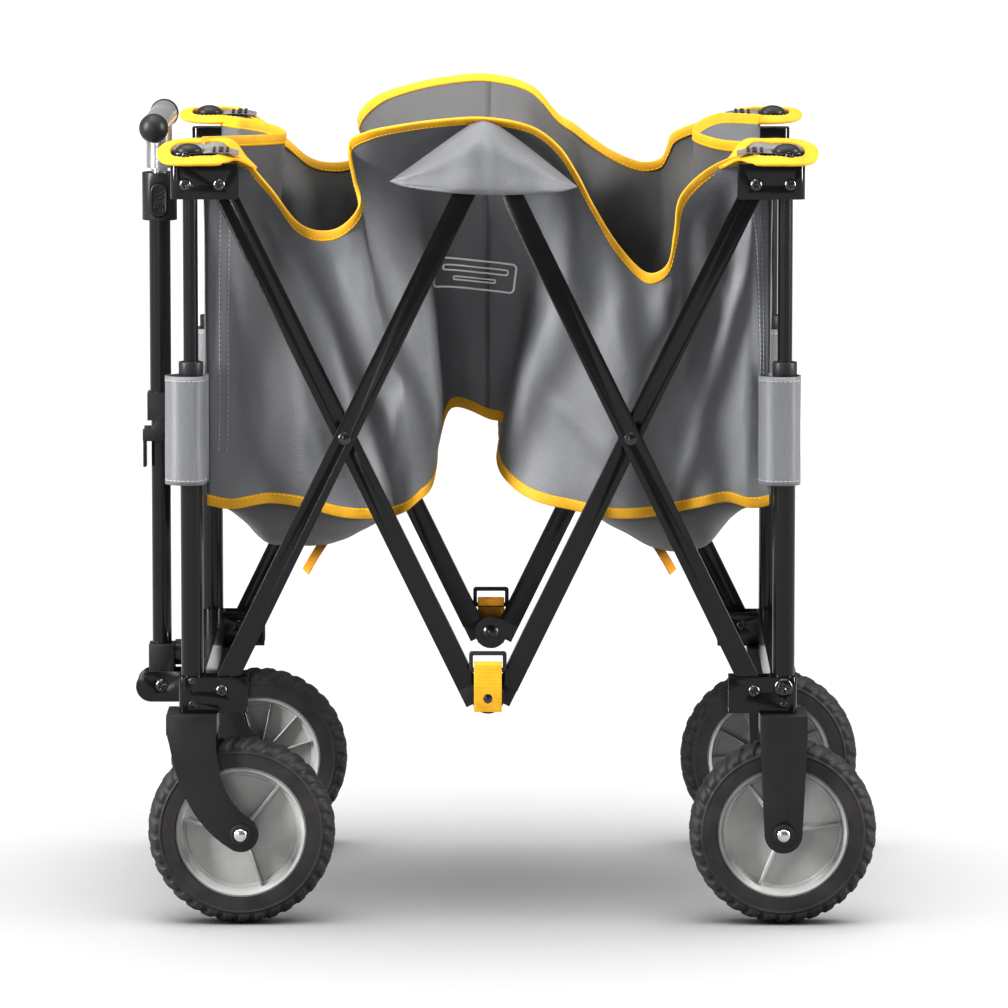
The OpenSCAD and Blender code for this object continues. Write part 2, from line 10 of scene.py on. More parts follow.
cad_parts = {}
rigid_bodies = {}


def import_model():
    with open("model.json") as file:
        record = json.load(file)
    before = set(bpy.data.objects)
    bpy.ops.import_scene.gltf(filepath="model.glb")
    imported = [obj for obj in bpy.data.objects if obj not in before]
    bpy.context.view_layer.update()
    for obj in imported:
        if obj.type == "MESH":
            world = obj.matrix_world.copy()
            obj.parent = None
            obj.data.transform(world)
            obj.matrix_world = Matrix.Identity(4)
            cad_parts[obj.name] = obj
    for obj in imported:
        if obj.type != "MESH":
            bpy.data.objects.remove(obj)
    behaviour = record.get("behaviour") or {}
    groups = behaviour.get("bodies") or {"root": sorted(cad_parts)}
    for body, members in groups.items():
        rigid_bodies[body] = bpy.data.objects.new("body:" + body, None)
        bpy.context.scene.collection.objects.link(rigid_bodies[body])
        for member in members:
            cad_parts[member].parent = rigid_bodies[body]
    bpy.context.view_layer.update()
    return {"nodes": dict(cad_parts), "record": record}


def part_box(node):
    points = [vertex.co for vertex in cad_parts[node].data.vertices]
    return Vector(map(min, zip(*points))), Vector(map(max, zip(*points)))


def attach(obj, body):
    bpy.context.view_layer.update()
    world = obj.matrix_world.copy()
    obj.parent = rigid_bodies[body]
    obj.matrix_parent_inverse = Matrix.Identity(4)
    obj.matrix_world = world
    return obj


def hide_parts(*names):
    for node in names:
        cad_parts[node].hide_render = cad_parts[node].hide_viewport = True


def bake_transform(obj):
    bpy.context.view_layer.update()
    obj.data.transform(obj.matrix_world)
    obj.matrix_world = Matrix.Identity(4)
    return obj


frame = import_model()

NODES = frame["nodes"]
BODIES = frame["record"]["behaviour"]["bodies"]
BODY_OF = {node: body for body, nodes in BODIES.items() for node in nodes}
MM = 0.001


def middle(node):
    low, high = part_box(node)
    return (low + high) / 2


HINGE_X = middle("top_hinge_pins").x / MM  # the middle hinge line, in millimetres


def toward(half):
    """Which way along X the front or the rear end lies."""
    return -1 if half == "front" else 1


def side_name(side):
    return "near" if side < 0 else "far"


def both(*names):
    """The front and the rear node of each name."""
    return tuple(f"{half}_{name}" for name in names for half in ("front", "rear"))


def at(x, y, z):
    """A point in the row frame, from millimetres measured from the middle hinge line."""
    return Vector(((x + HINGE_X) * MM, y * MM, z * MM))


# ---- Camera, light and floor ----
# The lamps light every piece but the floor, which only the sky lights
LIT = bpy.data.collections.new("Lit by the lamps")
LENS, SENSOR, FAR_CLIP = 262.9, 36, 100
CAMERA_AT = (0.037, -7.12, 1.276)
CAMERA_DOWN, CAMERA_TURN = 7.23, 0.28  # degrees
GAMMA = 0.84
SKY_STRENGTH = 3.5
# The sky's grey, from straight down and the horizon up to straight overhead
SKY = ((0.0, (0.03, 0.03, 0.031, 1)), (0.7, (0.12, 0.12, 0.12, 1)), (1.0, (1, 1, 1, 1)))
# Each lamp's place, the point it faces, its width and height, and its watts
LAMPS = {
    "Key": ((-2.9, -1.35, 1.7), (0, 0, 0.45), (0.5, 2.0), 290),
    "Rim": ((2.9, -0.9, 1.5), (0, 0, 0.45), (0.4, 2.0), 185),
    "Top": ((-0.6, -0.2, 2.7), (0, 0, 0.3), (1.4, 0.8), 26),
    "Strip": ((-1.9, -4.6, 1.3), (0, 0, 0.4), (0.12, 2.2), 26),
}
FLOOR_HALF = 40  # metres


def linked(name, data):
    """A new object in the scene."""
    obj = bpy.data.objects.new(name, data)
    bpy.context.collection.objects.link(obj)
    return obj


def camera():
    data = bpy.data.cameras.new("Camera")
    data.lens, data.sensor_width, data.clip_end = LENS, SENSOR, FAR_CLIP
    obj = linked("Camera", data)
    obj.location = CAMERA_AT
    obj.rotation_euler = (math.radians(90 - CAMERA_DOWN), 0, math.radians(CAMERA_TURN))
    bpy.context.scene.camera = obj


def area_light(name, place, target, size, watts):
    data = bpy.data.lights.new(name, "AREA")
    data.shape, data.size, data.size_y = "RECTANGLE", size[0], size[1]
    data.energy = watts
    obj = linked(name, data)
    obj.location = place
    aim = Vector(target) - Vector(place)
    obj.rotation_euler = aim.to_track_quat("-Z", "Y").to_euler()
    obj.light_linking.receiver_collection = LIT


def studio():
    scene = bpy.context.scene
    scene.view_settings.view_transform = "Standard"
    scene.view_settings.gamma = GAMMA
    world = bpy.data.worlds.new("Studio")
    world.use_nodes = True
    scene.world = world
    tree = world.node_tree
    sky = tree.nodes["Background"]
    where = tree.nodes.new("ShaderNodeTexCoord")
    split = tree.nodes.new("ShaderNodeSeparateXYZ")
    ramp = tree.nodes.new("ShaderNodeValToRGB")
    tree.links.new(where.outputs["Generated"], split.inputs[0])
    tree.links.new(split.outputs["Z"], ramp.inputs[0])
    tree.links.new(ramp.outputs[0], sky.inputs["Color"])
    stops = ramp.color_ramp.elements
    stops.new(SKY[1][0])
    for stop, (position, colour) in zip(stops, SKY):
        stop.position, stop.color = position, colour
    sky.inputs["Strength"].default_value = SKY_STRENGTH
    for name, settings in LAMPS.items():
        area_light(name, *settings)
    bm = bmesh.new()
    bmesh.ops.create_grid(bm, x_segments=8, y_segments=8, size=FLOOR_HALF)
    mesh = bpy.data.meshes.new("Floor")
    bm.to_mesh(mesh)
    bm.free()
    floor = linked("Floor", mesh)
    pale = Tree("Pale floor", Base_Color=(0.93, 0.93, 0.93, 1), Roughness=0.9)
    pale.bump(pale.noise(3.0, 3.0), 0.02, 0.001)
    mesh.materials.append(pale.material)


# ---- Materials ----
class Tree:
    """A node material with one principled shader."""

    def __init__(self, name, **sockets):
        self.material = bpy.data.materials.new(name)
        self.material.use_nodes = True
        self.nodes = self.material.node_tree.nodes
        self.links = self.material.node_tree.links
        self.shader = self.nodes["Principled BSDF"]
        self.set(self.shader, {k.replace("_", " "): v for k, v in sockets.items()})
        self.where = self.add("TexCoord")
        self.place = self.where.outputs["Object"]

    def set(self, node, inputs):
        for socket, value in inputs.items():
            if isinstance(value, bpy.types.NodeSocket):
                self.links.new(value, node.inputs[socket])
            else:
                node.inputs[socket].default_value = value

    def add(self, kind, inputs=None, **settings):
        node = self.nodes.new("ShaderNode" + kind)
        for key, value in settings.items():
            setattr(node, key, value)
        self.set(node, inputs or {})
        return node

    def noise(self, scale, detail, vector=None, **inputs):
        node = self.add("TexNoise", {"Vector": vector or self.place, "Scale": scale,
                                     "Detail": detail, **inputs})
        return node.outputs["Fac"]

    def multiply(self, a, b):
        """One colour times another."""
        node = self.add("Mix", data_type="RGBA", blend_type="MULTIPLY")
        self.set(node, {0: 1.0, 6: a, 7: b})
        return node.outputs[2]

    def math(self, operation, a, b=0.0):
        node = self.add("Math", operation=operation)
        self.set(node, {0: a, 1: b})
        return node.outputs[0]

    def ramp(self, factor, low, high, a, b):
        """Colour a where factor is under low, colour b where it is over high."""
        node = self.add("ValToRGB", {"Fac": factor})
        for element, position, colour in zip(node.color_ramp.elements, (low, high), (a, b)):
            element.position, element.color = position, colour
        return node.outputs["Color"]

    def range(self, value, low, high, to_low, to_high):
        node = self.add("MapRange", {"Value": value, "From Min": low, "From Max": high,
                                     "To Min": to_low, "To Max": to_high})
        return node.outputs["Result"]

    def bump(self, height, strength, distance, normal=None):
        inputs = {"Height": height, "Strength": strength, "Distance": distance}
        if normal is not None:
            inputs["Normal"] = normal
        node = self.add("Bump", inputs)
        self.set(self.shader, {"Normal": node.outputs["Normal"]})
        return node.outputs["Normal"]


def shade(colour, factor):
    return tuple(min(1.0, c * factor) for c in colour[:3]) + (1,)


def grey(level):
    return (level, level, level, 1)


def hard(name, colour, rough, metal=0.0, grain=2600, depth=0.00004, vary=0.18,
         cloud=22, **sockets):
    """A moulded, painted or plated surface: fine grain, cloudy tone and uneven gloss."""
    tree = Tree(name, Metallic=metal, **sockets)
    fine, broad = tree.noise(grain, 2.0), tree.noise(cloud, 5.0)
    tone = tree.ramp(broad, 0.32, 0.68, shade(colour, 1 - vary), shade(colour, 1 + vary))
    gloss = tree.range(broad, 0.3, 0.7, rough * 0.86, rough * 1.16)
    tree.set(tree.shader, {"Base Color": tone, "Roughness": gloss})
    tree.bump(fine, 0.5, depth)
    return tree.material


def woven(name, colour, pitch=0.0011, rough=0.72, depth=0.00022, sheen=0.35, vary=0.13,
          shine=0.5):
    """Plain-weave cloth: warp and weft threads in real size, slubs, soft tone changes, and painted
    shade that darkens the low edges of the threads.
    """
    tree = Tree(name, Sheen_Weight=sheen, Sheen_Roughness=0.45, Specular_IOR_Level=shine)
    uv = tree.where.outputs["UV"]
    split = tree.add("SeparateXYZ", {"Vector": uv})
    turn = 2 * math.pi / pitch
    u, v = (tree.math("MULTIPLY", split.outputs[axis], turn) for axis in ("X", "Y"))
    half_u, half_v = (tree.math("MULTIPLY", value, 0.5) for value in (u, v))
    over = tree.math("MULTIPLY", tree.math("SINE", half_u), tree.math("SINE", half_v))
    sign = tree.math("SIGN", over)
    warp = tree.math("ABSOLUTE", tree.math("SINE", half_u))
    weft = tree.math("ABSOLUTE", tree.math("SINE", half_v))
    upper = tree.math("MULTIPLY", tree.math("GREATER_THAN", sign, 0.0), warp)
    lower = tree.math("MULTIPLY", tree.math("LESS_THAN", sign, 0.0), weft)
    threads = tree.math("ADD", upper, lower)
    slub, cloud = tree.noise(420.0, 3.0, uv), tree.noise(9.0, 4.0, uv)
    tone = tree.ramp(cloud, 0.3, 0.7, shade(colour, 1 - vary), shade(colour, 1 + vary))
    speck = tree.ramp(slub, 0.35, 0.65, grey(0.86), grey(1))
    # painted shade: the colour gets darker where the threads dip, following their bump height
    thread_shade = tree.ramp(threads, 0.0, 0.7, grey(0.78), grey(1.05))
    tree.set(tree.shader, {
        "Base Color": tree.multiply(tree.multiply(tone, speck), thread_shade),
        "Roughness": tree.range(slub, 0.3, 0.7, rough * 0.9, rough * 1.1)})
    height = tree.math("ADD", threads, tree.math("MULTIPLY", slub, 0.8))
    tree.bump(height, 0.8, depth)
    return tree.material


def webbing(name, colour, pitch=0.0013, rough=0.6, sheen=0.25):
    """Ribbed tape: ribs across the tape, a little uneven, with a herringbone of fine threads, and
    painted shade that darkens the grooves between the ribs.
    """
    tree = Tree(name, Sheen_Weight=sheen, Sheen_Roughness=0.4)
    uv = tree.where.outputs["UV"]
    split = tree.add("SeparateXYZ", {"Vector": uv})
    along = tree.math("MULTIPLY", split.outputs["X"], 2 * math.pi / pitch)
    across = tree.math("MULTIPLY", split.outputs["Y"], 2 * math.pi / pitch * 0.8)
    ribs = tree.math("ABSOLUTE", tree.math("SINE", tree.math("MULTIPLY", along, 0.5)))
    threads = tree.math("ABSOLUTE", tree.math("SINE", across))
    cloud = tree.noise(60.0, 4.0, uv)
    height = tree.math("ADD", ribs, tree.math("MULTIPLY", threads, 0.4))
    tone = tree.ramp(cloud, 0.3, 0.7, shade(colour, 0.9), shade(colour, 1.08))
    # painted shade: the tape is darker and a little warmer in the low grooves between the ribs,
    # following their bump height
    dark = tree.ramp(height, 0.0, 0.8, (0.82, 0.8, 0.78, 1), grey(1.03))
    tree.set(tree.shader, {
        "Base Color": tree.multiply(tone, dark),
        "Roughness": tree.range(cloud, 0.3, 0.7, rough * 0.9, rough * 1.1)})
    tree.bump(height, 0.7, 0.0002)
    return tree.material


def tyre_rubber():
    tree = Tree("Tyre rubber", Specular_IOR_Level=0.25)
    fine, dust = tree.noise(1500.0, 3.0), tree.noise(38.0, 6.0)
    tone = tree.ramp(dust, 0.35, 0.7, (0.019, 0.0175, 0.018, 1),
                     (0.032, 0.029, 0.0298, 1))
    tree.set(tree.shader, {
        "Base Color": tone,
        "Roughness": tree.range(dust, 0.3, 0.7, 0.52, 0.68)})
    tree.bump(fine, 0.5, 0.00008)
    return tree.material


def hub_plastic():
    """Silver-grey moulding with fine sparkle and faint flow lines."""
    tree = Tree("Hub plastic", Metallic=0.25, Coat_Weight=0.12, Coat_Roughness=0.3)
    fine, flow = tree.noise(2200.0, 2.0), tree.noise(16.0, 4.0, Distortion=1.2)
    tone = tree.ramp(flow, 0.3, 0.7, (0.30, 0.298, 0.292, 1),
                     (0.39, 0.388, 0.38, 1))
    spark = tree.ramp(fine, 0.4, 0.62, grey(0.92), grey(1.05))
    tree.set(tree.shader, {
        "Base Color": tree.multiply(tone, spark),
        "Roughness": tree.range(flow, 0.3, 0.7, 0.38, 0.5)})
    tree.bump(fine, 0.4, 0.00004)
    return tree.material


PAINT = hard("Black paint", (0.0050, 0.0049, 0.0051, 1), 0.17, grain=900, depth=0.000008,
             vary=0.1, Specular_IOR_Level=0.4)
PLASTIC = hard("Black plastic", (0.0175, 0.0172, 0.0182, 1), 0.4, grain=2400, depth=0.00007,
               Specular_IOR_Level=0.26)
FORK_PAINT = hard("Charcoal powder coat", (0.0135, 0.0125, 0.0125, 1), 0.34, grain=1700,
                  depth=0.00005, Specular_IOR_Level=0.34)
GRIP = hard("Polished grip", (0.36, 0.35, 0.345, 1), 0.22, metal=0.35, grain=700,
            depth=0.00002, vary=0.08)
CHROME = hard("Black chrome", (0.085, 0.083, 0.086, 1), 0.2, metal=1.0, grain=500,
              depth=0.00002)
ZINC = hard("Zinc", (0.62, 0.62, 0.64, 1), 0.24, metal=1.0, grain=700, depth=0.00003)
STEEL = hard("Bare steel", (0.46, 0.46, 0.47, 1), 0.26, metal=1.0, grain=600, depth=0.00003)
RUBBER = tyre_rubber()
HUB = hub_plastic()
CLOTH = woven("Grey oxford cloth", (0.118, 0.122, 0.131, 1), rough=0.42, sheen=0.08, shine=0.9)
# The inner faces of the bag's cloth: the coated back of the grey cloth, made darker and warmer than
# the outer face as painted shade inside the bag
LINING_WITH_PAINTED_SHADE = woven("Coated inside with painted shade", (0.084, 0.083, 0.082, 1), rough=0.5, sheen=0.08)
YELLOW = webbing("Yellow binding", (0.56, 0.30, 0.001, 1), sheen=0.04)
ORANGE = webbing("Amber webbing", (0.62, 0.27, 0.008, 1), sheen=0.05)
THREAD = hard("Yellow thread", (0.85, 0.47, 0.006, 1), 0.5, grain=4000, depth=0.0001)
GREY_THREAD = hard("Grey thread", (0.30, 0.31, 0.32, 1), 0.55, grain=4000, depth=0.0001)
PRINT = hard("Pale print", (0.80, 0.81, 0.82, 1), 0.55, grain=1800, depth=0.00005)


# ---- Mesh helpers ----
CLOTH_T = 0.0013  # metres, like the tape's sizes
TAPE_W, TAPE_T = 0.0105, 0.0034
WELD = 0.000005  # corners of a CAD mesh closer than this are one


def piece(name, points, faces, materials, uvs=None, angle=40, slots=None):
    """A new object; uvs holds one pair for each point, slots one material index a face."""
    mesh = bpy.data.meshes.new(name)
    mesh.from_pydata([tuple(p) for p in points], [], faces)
    for material in materials:
        mesh.materials.append(material)
    if slots is not None:
        mesh.polygons.foreach_set("material_index", slots)
    if uvs is not None:
        layer = mesh.uv_layers.new(name="Cloth")
        loops = np.zeros(len(mesh.loops), np.int32)
        mesh.loops.foreach_get("vertex_index", loops)
        layer.data.foreach_set("uv", np.asarray(uvs, np.float32)[loops].ravel())
    mesh.polygons.foreach_set("use_smooth", [True] * len(mesh.polygons))
    mesh.set_sharp_from_angle(angle=math.radians(angle))
    mesh.update()
    return linked(name, mesh)


def settle(obj):
    """Applies an object's modifiers to its mesh."""
    bpy.context.view_layer.update()
    graph = bpy.context.evaluated_depsgraph_get()
    mesh = bpy.data.meshes.new_from_object(obj.evaluated_get(graph))
    obj.modifiers.clear()
    obj.data = mesh
    return obj


def face_outwards(obj):
    bm = bmesh.new()
    bm.from_mesh(obj.data)
    bmesh.ops.recalc_face_normals(bm, faces=bm.faces)
    bm.to_mesh(obj.data)
    bm.free()
    return obj


def thicken(obj, thickness, offset=0.0, inner=1):
    modifier = obj.modifiers.new("Thickness", "SOLIDIFY")
    modifier.thickness, modifier.offset = thickness, offset
    modifier.material_offset, modifier.material_offset_rim = inner, 0
    modifier.use_even_offset = False
    return settle(obj)


def bevelled(obj, width):
    modifier = obj.modifiers.new("Bevel", "BEVEL")
    modifier.width, modifier.segments = width, 2
    modifier.limit_method, modifier.angle_limit = "ANGLE", math.radians(32)
    modifier.use_clamp_overlap = True
    modifier.harden_normals = False
    settle(obj)
    obj.data.polygons.foreach_set("use_smooth", [True] * len(obj.data.polygons))
    obj.data.set_sharp_from_angle(angle=math.radians(50))
    return obj


def grid_faces(rows, columns, close_rows=False, close_columns=False, start=0):
    faces = []
    for i in range(rows if close_rows else rows - 1):
        for j in range(columns if close_columns else columns - 1):
            a, b = i * columns, (i + 1) % rows * columns
            k = (j + 1) % columns
            faces.append((start + a + j, start + a + k, start + b + k, start + b + j))
    return faces


def tangents(points, knots):
    """Slopes for a smooth curve through points[i] at knots[i]."""
    step = np.diff(knots)[:, None]
    slope = np.diff(points.reshape(len(points), -1), axis=0) / step
    inner = (slope[:-1] * step[1:] + slope[1:] * step[:-1]) / (step[1:] + step[:-1])
    return np.concatenate([slope[:1], inner, slope[-1:]])


def smooth(points, cuts):
    """Points along a smooth curve through the given ones, cuts of them to each span.
    points may be a stack of curves: its first axis runs along them."""
    points = np.asarray(points, float)
    flat = points.reshape(len(points), -1)
    chord = np.linalg.norm(np.diff(points, axis=0), axis=-1)
    while chord.ndim > 1:
        chord = chord.mean(axis=-1)
    knots = np.concatenate([[0], np.cumsum(np.sqrt(np.maximum(chord, 1e-9)))])
    slope = tangents(points, knots)
    out = []
    for i in range(len(points) - 1):
        h = knots[i + 1] - knots[i]
        for k in range(cuts):
            t = k / cuts
            out.append((2 * t ** 3 - 3 * t ** 2 + 1) * flat[i]
                       + (t ** 3 - 2 * t ** 2 + t) * h * slope[i]
                       + (3 * t ** 2 - 2 * t ** 3) * flat[i + 1]
                       + (t ** 3 - t ** 2) * h * slope[i + 1])
    out.append(flat[-1])
    return np.array(out).reshape((-1,) + points.shape[1:])


def smooth_sheet(columns, cuts_along, cuts_down):
    """A dense grid [column, row, xyz] through a coarse one."""
    dense = smooth(np.asarray(columns, float), cuts_along)
    return smooth(dense.transpose(1, 0, 2), cuts_down).transpose(1, 0, 2)


def unit(vectors):
    return vectors / np.maximum(np.linalg.norm(vectors, axis=-1, keepdims=True), 1e-12)


def normals_of(grid):
    along = np.gradient(grid, axis=0)
    down = np.gradient(grid, axis=1)
    return unit(np.cross(along, down))


def lengths(grid):
    """For each point, how far it is along its row and down its column, in metres."""
    along = np.linalg.norm(np.diff(grid, axis=0), axis=2)
    down = np.linalg.norm(np.diff(grid, axis=1), axis=2)
    u = np.concatenate([np.zeros((1, grid.shape[1])), np.cumsum(along, axis=0)])
    v = np.concatenate([np.zeros((grid.shape[0], 1)), np.cumsum(down, axis=1)], axis=1)
    return np.broadcast_to(u.mean(axis=1, keepdims=True), v.shape), v


def ruffled(grid, broad, fine, seed, edges=(1, 1, 1, 1)):
    """The grid moved along its normals by soft folds that run down it, quiet at its edges.
    edges says which of first column, last column, first row, last row stay put."""
    normal = normals_of(grid)
    u, v = lengths(grid)
    columns, rows = grid.shape[:2]
    ramp_u = np.clip(np.arange(columns) / (0.08 * columns), 0, 1)
    ramp_v = np.clip(np.arange(rows) / (0.16 * rows), 0, 1)
    fade_u = (ramp_u if edges[0] else 1) * (ramp_u[::-1] if edges[1] else 1)
    fade_v = (ramp_v if edges[2] else 1) * (ramp_v[::-1] if edges[3] else 1) * np.ones(rows)
    move = np.zeros((columns, rows))
    for i in range(columns):
        for j in range(rows):
            a, b = u[i, j], v[i, j]
            folds = noise.noise(Vector((a * 13 + b * 2.5, b * 3.5, seed)))
            creases = noise.noise(Vector((a * 44 - b * 12, b * 15, seed + 7.3)))
            sharp = 1 - 2 * abs(noise.noise(Vector((a * 21 + b * 9, b * 8, seed + 3.1))))
            move[i, j] = broad * folds + fine * creases + 0.8 * fine * max(0, sharp - 0.55)
    return grid + normal * (move * fade_u[:, None] * fade_v[None, :])[..., None]


def cloth(name, grid, thickness=CLOTH_T, inner=None):
    """A thin sheet over a grid in metres. Its outer face has the grid's normals."""
    columns, rows = grid.shape[:2]
    uvs = np.stack(lengths(grid), axis=2).reshape(-1, 2)
    # the inner face takes the lining, which is darkened as painted shade, unless inner is given
    obj = piece(name, grid.reshape(-1, 3), grid_faces(columns, rows),
                [CLOTH, inner or LINING_WITH_PAINTED_SHADE], uvs, angle=180)
    return thicken(obj, thickness)


def sweep(name, line, side, up, section, materials, closed=False):
    """A tape: the closed section, pairs of (side, up) offsets, carried along a line."""
    line, side, up = (np.asarray(a, float) for a in (line, side, up))
    section = np.asarray(section, float)
    ring = (line[:, None, :] + section[None, :, :1] * side[:, None, :]
            + section[None, :, 1:] * up[:, None, :])
    count, around = ring.shape[:2]
    along = np.concatenate([[0], np.cumsum(np.linalg.norm(np.diff(line, axis=0), axis=1))])
    round_it = np.concatenate([[0], np.cumsum(np.linalg.norm(np.diff(section, axis=0), axis=1))])
    uvs = np.stack(np.broadcast_arrays(along[:, None], round_it[None, :]), axis=2)
    faces = grid_faces(count, around, close_rows=closed, close_columns=True)
    if not closed:
        faces.append(tuple(range(around)))
        faces.append(tuple(reversed(range((count - 1) * around, count * around))))
    return piece(name, ring.reshape(-1, 3), faces, materials, uvs.reshape(-1, 2), angle=60)


def flat_section(width, thick, count=7):
    """A rounded flat bar, width along the first offset."""
    points = []
    for k in range(count * 2):
        angle = math.pi * (k + 0.5) / count
        c, s = math.cos(angle), math.sin(angle)
        points.append((width / 2 * math.copysign(abs(c) ** 0.28, c),
                       thick / 2 * math.copysign(abs(s) ** 0.7, s)))
    return points


def merge(name, objs):
    """Joins pieces into the first, keeping each one's materials."""
    with bpy.context.temp_override(active_object=objs[0], object=objs[0],
                                   selected_objects=objs,
                                   selected_editable_objects=objs):
        bpy.ops.object.join()
    objs[0].name = name
    return objs[0]


def stitches(name, line, out, offset, step=0.0045, long=0.003, thick=0.00045,
             material=None):
    """A row of short threads lying on a surface: line is where, out is the way off it."""
    line = np.asarray(line, float) + np.asarray(offset, float)
    out = np.asarray(out, float)
    along = np.concatenate([[0], np.cumsum(np.linalg.norm(np.diff(line, axis=0), axis=1))])
    points, faces = [], []

    def between(values, distance):
        return np.array([np.interp(distance, along, values[:, c]) for c in range(3)])

    for k in range(int((along[-1] - long) / step)):
        begin = k * step + 0.0008
        a, b, normal = between(line, begin), between(line, begin + long), between(out, begin)
        ahead = (b - a) / max(np.linalg.norm(b - a), 1e-9)
        side = np.cross(ahead, normal)
        start = len(points)
        for t, grow in ((-0.05, 0.35), (0.2, 1.0), (0.8, 1.0), (1.05, 0.35)):
            centre = a + (b - a) * t
            for angle in range(6):
                turn = math.pi * angle / 3
                points.append(centre + thick * grow * (
                    math.cos(turn) * side + math.sin(turn) * normal))
        faces += grid_faces(4, 6, close_columns=True, start=start)
        faces.append(tuple(range(start, start + 6)))
        faces.append(tuple(reversed(range(start + 18, start + 24))))
    return piece(name, points, faces, [material or THREAD], angle=60)


def lathe(profile, count=64):
    """Points in metres and faces of a profile turned about Z: (radius, height) in mm."""
    profile = [(r * MM, h * MM) for r, h in profile]
    points = []
    for k in range(count):
        turn = 2 * math.pi * k / count
        points += [(r * math.cos(turn), r * math.sin(turn), h) for r, h in profile]
    return points, grid_faces(count, len(profile), close_rows=True, close_columns=True)


def about_y(points, centre, sign=1):
    """Turns points made about Z to lie about Y at a centre; +Z goes to sign times Y."""
    return [Vector((p[0] + centre[0], sign * p[2] + centre[1],
                    -sign * p[1] + centre[2])) for p in points]


def slotted(obj, body, *nodes, slot=None):
    """Puts a piece on its body, in place of CAD nodes. The slot argument is not used."""
    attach(obj, body)
    if nodes:
        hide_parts(*nodes)
    return obj


def softened(node, width, material):
    """A copy of a CAD node with its sharp edges rounded, shown in the node's place."""
    bm = bmesh.new()
    bm.from_mesh(NODES[node].data)
    bmesh.ops.remove_doubles(bm, verts=bm.verts, dist=WELD)
    bmesh.ops.dissolve_limit(bm, angle_limit=math.radians(0.5), verts=bm.verts,
                             edges=bm.edges)
    mesh = bpy.data.meshes.new(node + "_rounded")
    bm.to_mesh(mesh)
    bm.free()
    mesh.materials.clear()
    mesh.materials.append(material)
    mesh.polygons.foreach_set("material_index", [0] * len(mesh.polygons))
    obj = bevelled(linked(node + "_rounded", mesh), width)
    return slotted(obj, BODY_OF[node], node)


def islands(node):
    """The box of each separate solid of a CAD node, as (lowest, highest) corners."""
    bm = bmesh.new()
    bm.from_mesh(NODES[node].data)
    bmesh.ops.remove_doubles(bm, verts=bm.verts, dist=WELD)
    seen, boxes = set(), []
    for first in bm.verts:
        if first.index in seen:
            continue
        stack, group = [first], []
        seen.add(first.index)
        while stack:
            vertex = stack.pop()
            group.append(vertex.co.copy())
            for edge in vertex.link_edges:
                other = edge.other_vert(vertex)
                if other.index not in seen:
                    seen.add(other.index)
                    stack.append(other)
        boxes.append((Vector(map(min, zip(*group))), Vector(map(max, zip(*group)))))
    bm.free()
    return boxes


# ---- The bag's cloth ----
# Columns of the near wall from the front corner to the rear one. Each has five points from
# the hem down to the floor seam, in millimetres from the middle hinge line.
NEAR_WALL = (
    ((-266, -204, 727), (-266, -204, 645), (-266, -204, 560), (-266, -204, 480), (-266, -204, 399)),
    ((-234, -205, 727), (-236, -206, 643), (-237, -206, 560), (-238, -206, 478), (-242, -206, 395)),
    ((-207, -206, 700), (-207, -206, 632), (-207, -206, 553), (-206, -206, 476), (-208, -206, 400)),
    ((-180, -206, 664), (-180, -206, 607), (-175, -206, 540), (-170, -206, 470), (-174, -206, 395)),
    ((-155, -205, 656), (-151, -206, 603), (-143, -206, 535), (-136, -206, 463), (-137, -206, 385)),
    ((-134, -202, 664), (-126, -205, 608), (-113, -206, 545), (-100, -206, 465), (-103, -206, 384)),
    ((-121, -194, 683), (-109, -197, 622), (-94, -199, 550), (-76, -203, 470), (-80, -204, 391)),
    ((-127, -186, 711), (-116, -182, 640), (-91, -187, 560), (-66, -196, 475), (-65, -196, 403)),
    ((-131, -184, 738), (-111, -167, 665), (-80, -172, 572), (-55, -183, 480), (-57, -182, 409)),
    ((-114, -200, 750), (-84, -158, 682), (-56, -154, 590), (-44, -160, 490), (-52, -158, 420)),
    ((-86, -212, 757), (-62, -150, 697), (-50, -128, 602), (-44, -128, 500), (-49, -126, 446)),
    ((-46, -218, 763), (-40, -150, 702), (-36, -110, 608), (-35, -103, 522), (-36, -104, 480)),
    ((0, -219, 765), (0, -152, 704), (0, -101, 612), (0, -95, 532), (0, -97, 469)),
    ((40, -217, 757), (37, -156, 702), (36, -107, 612), (26, -104, 532), (14, -110, 464)),
    ((66, -208, 738), (62, -170, 682), (50, -125, 596), (25, -128, 512), (9, -132, 434)),
    ((84, -202, 711), (80, -184, 657), (66, -156, 578), (37, -160, 500), (18, -162, 417)),
    ((100, -200, 680), (98, -192, 628), (88, -182, 560), (63, -187, 485), (43, -190, 402)),
    ((122, -202, 644), (120, -201, 603), (112, -202, 545), (95, -204, 470), (82, -204, 393)),
    ((150, -205, 617), (148, -206, 583), (142, -206, 533), (131, -206, 463), (123, -206, 386)),
    ((169, -205, 625), (171, -206, 588), (169, -206, 538), (164, -206, 465), (160, -206, 387)),
    ((176, -204, 656), (189, -205, 610), (195, -206, 545), (197, -206, 468), (198, -206, 395)),
    ((182, -204, 690), (209, -205, 634), (218, -206, 553), (222, -206, 474), (226, -206, 402)),
    ((208, -204, 716), (229, -205, 645), (238, -206, 560), (241, -206, 478), (246, -206, 397)),
    ((236, -204, 728), (248, -204, 646), (253, -205, 560), (254, -205, 480), (257, -205, 397)),
    ((266, -204, 728), (266, -204, 645), (266, -204, 560), (266, -204, 480), (266, -204, 399)),
)
MIDDLE = 12  # the column at the middle hinge line
CUTS_ALONG, CUTS_DOWN = 7, 11
CORNER_SEAM = 3  # the dense column of the stitched seam beside each corner
BARS_IN = 0.2076  # the cloth stays inside the scissor bars, which start here
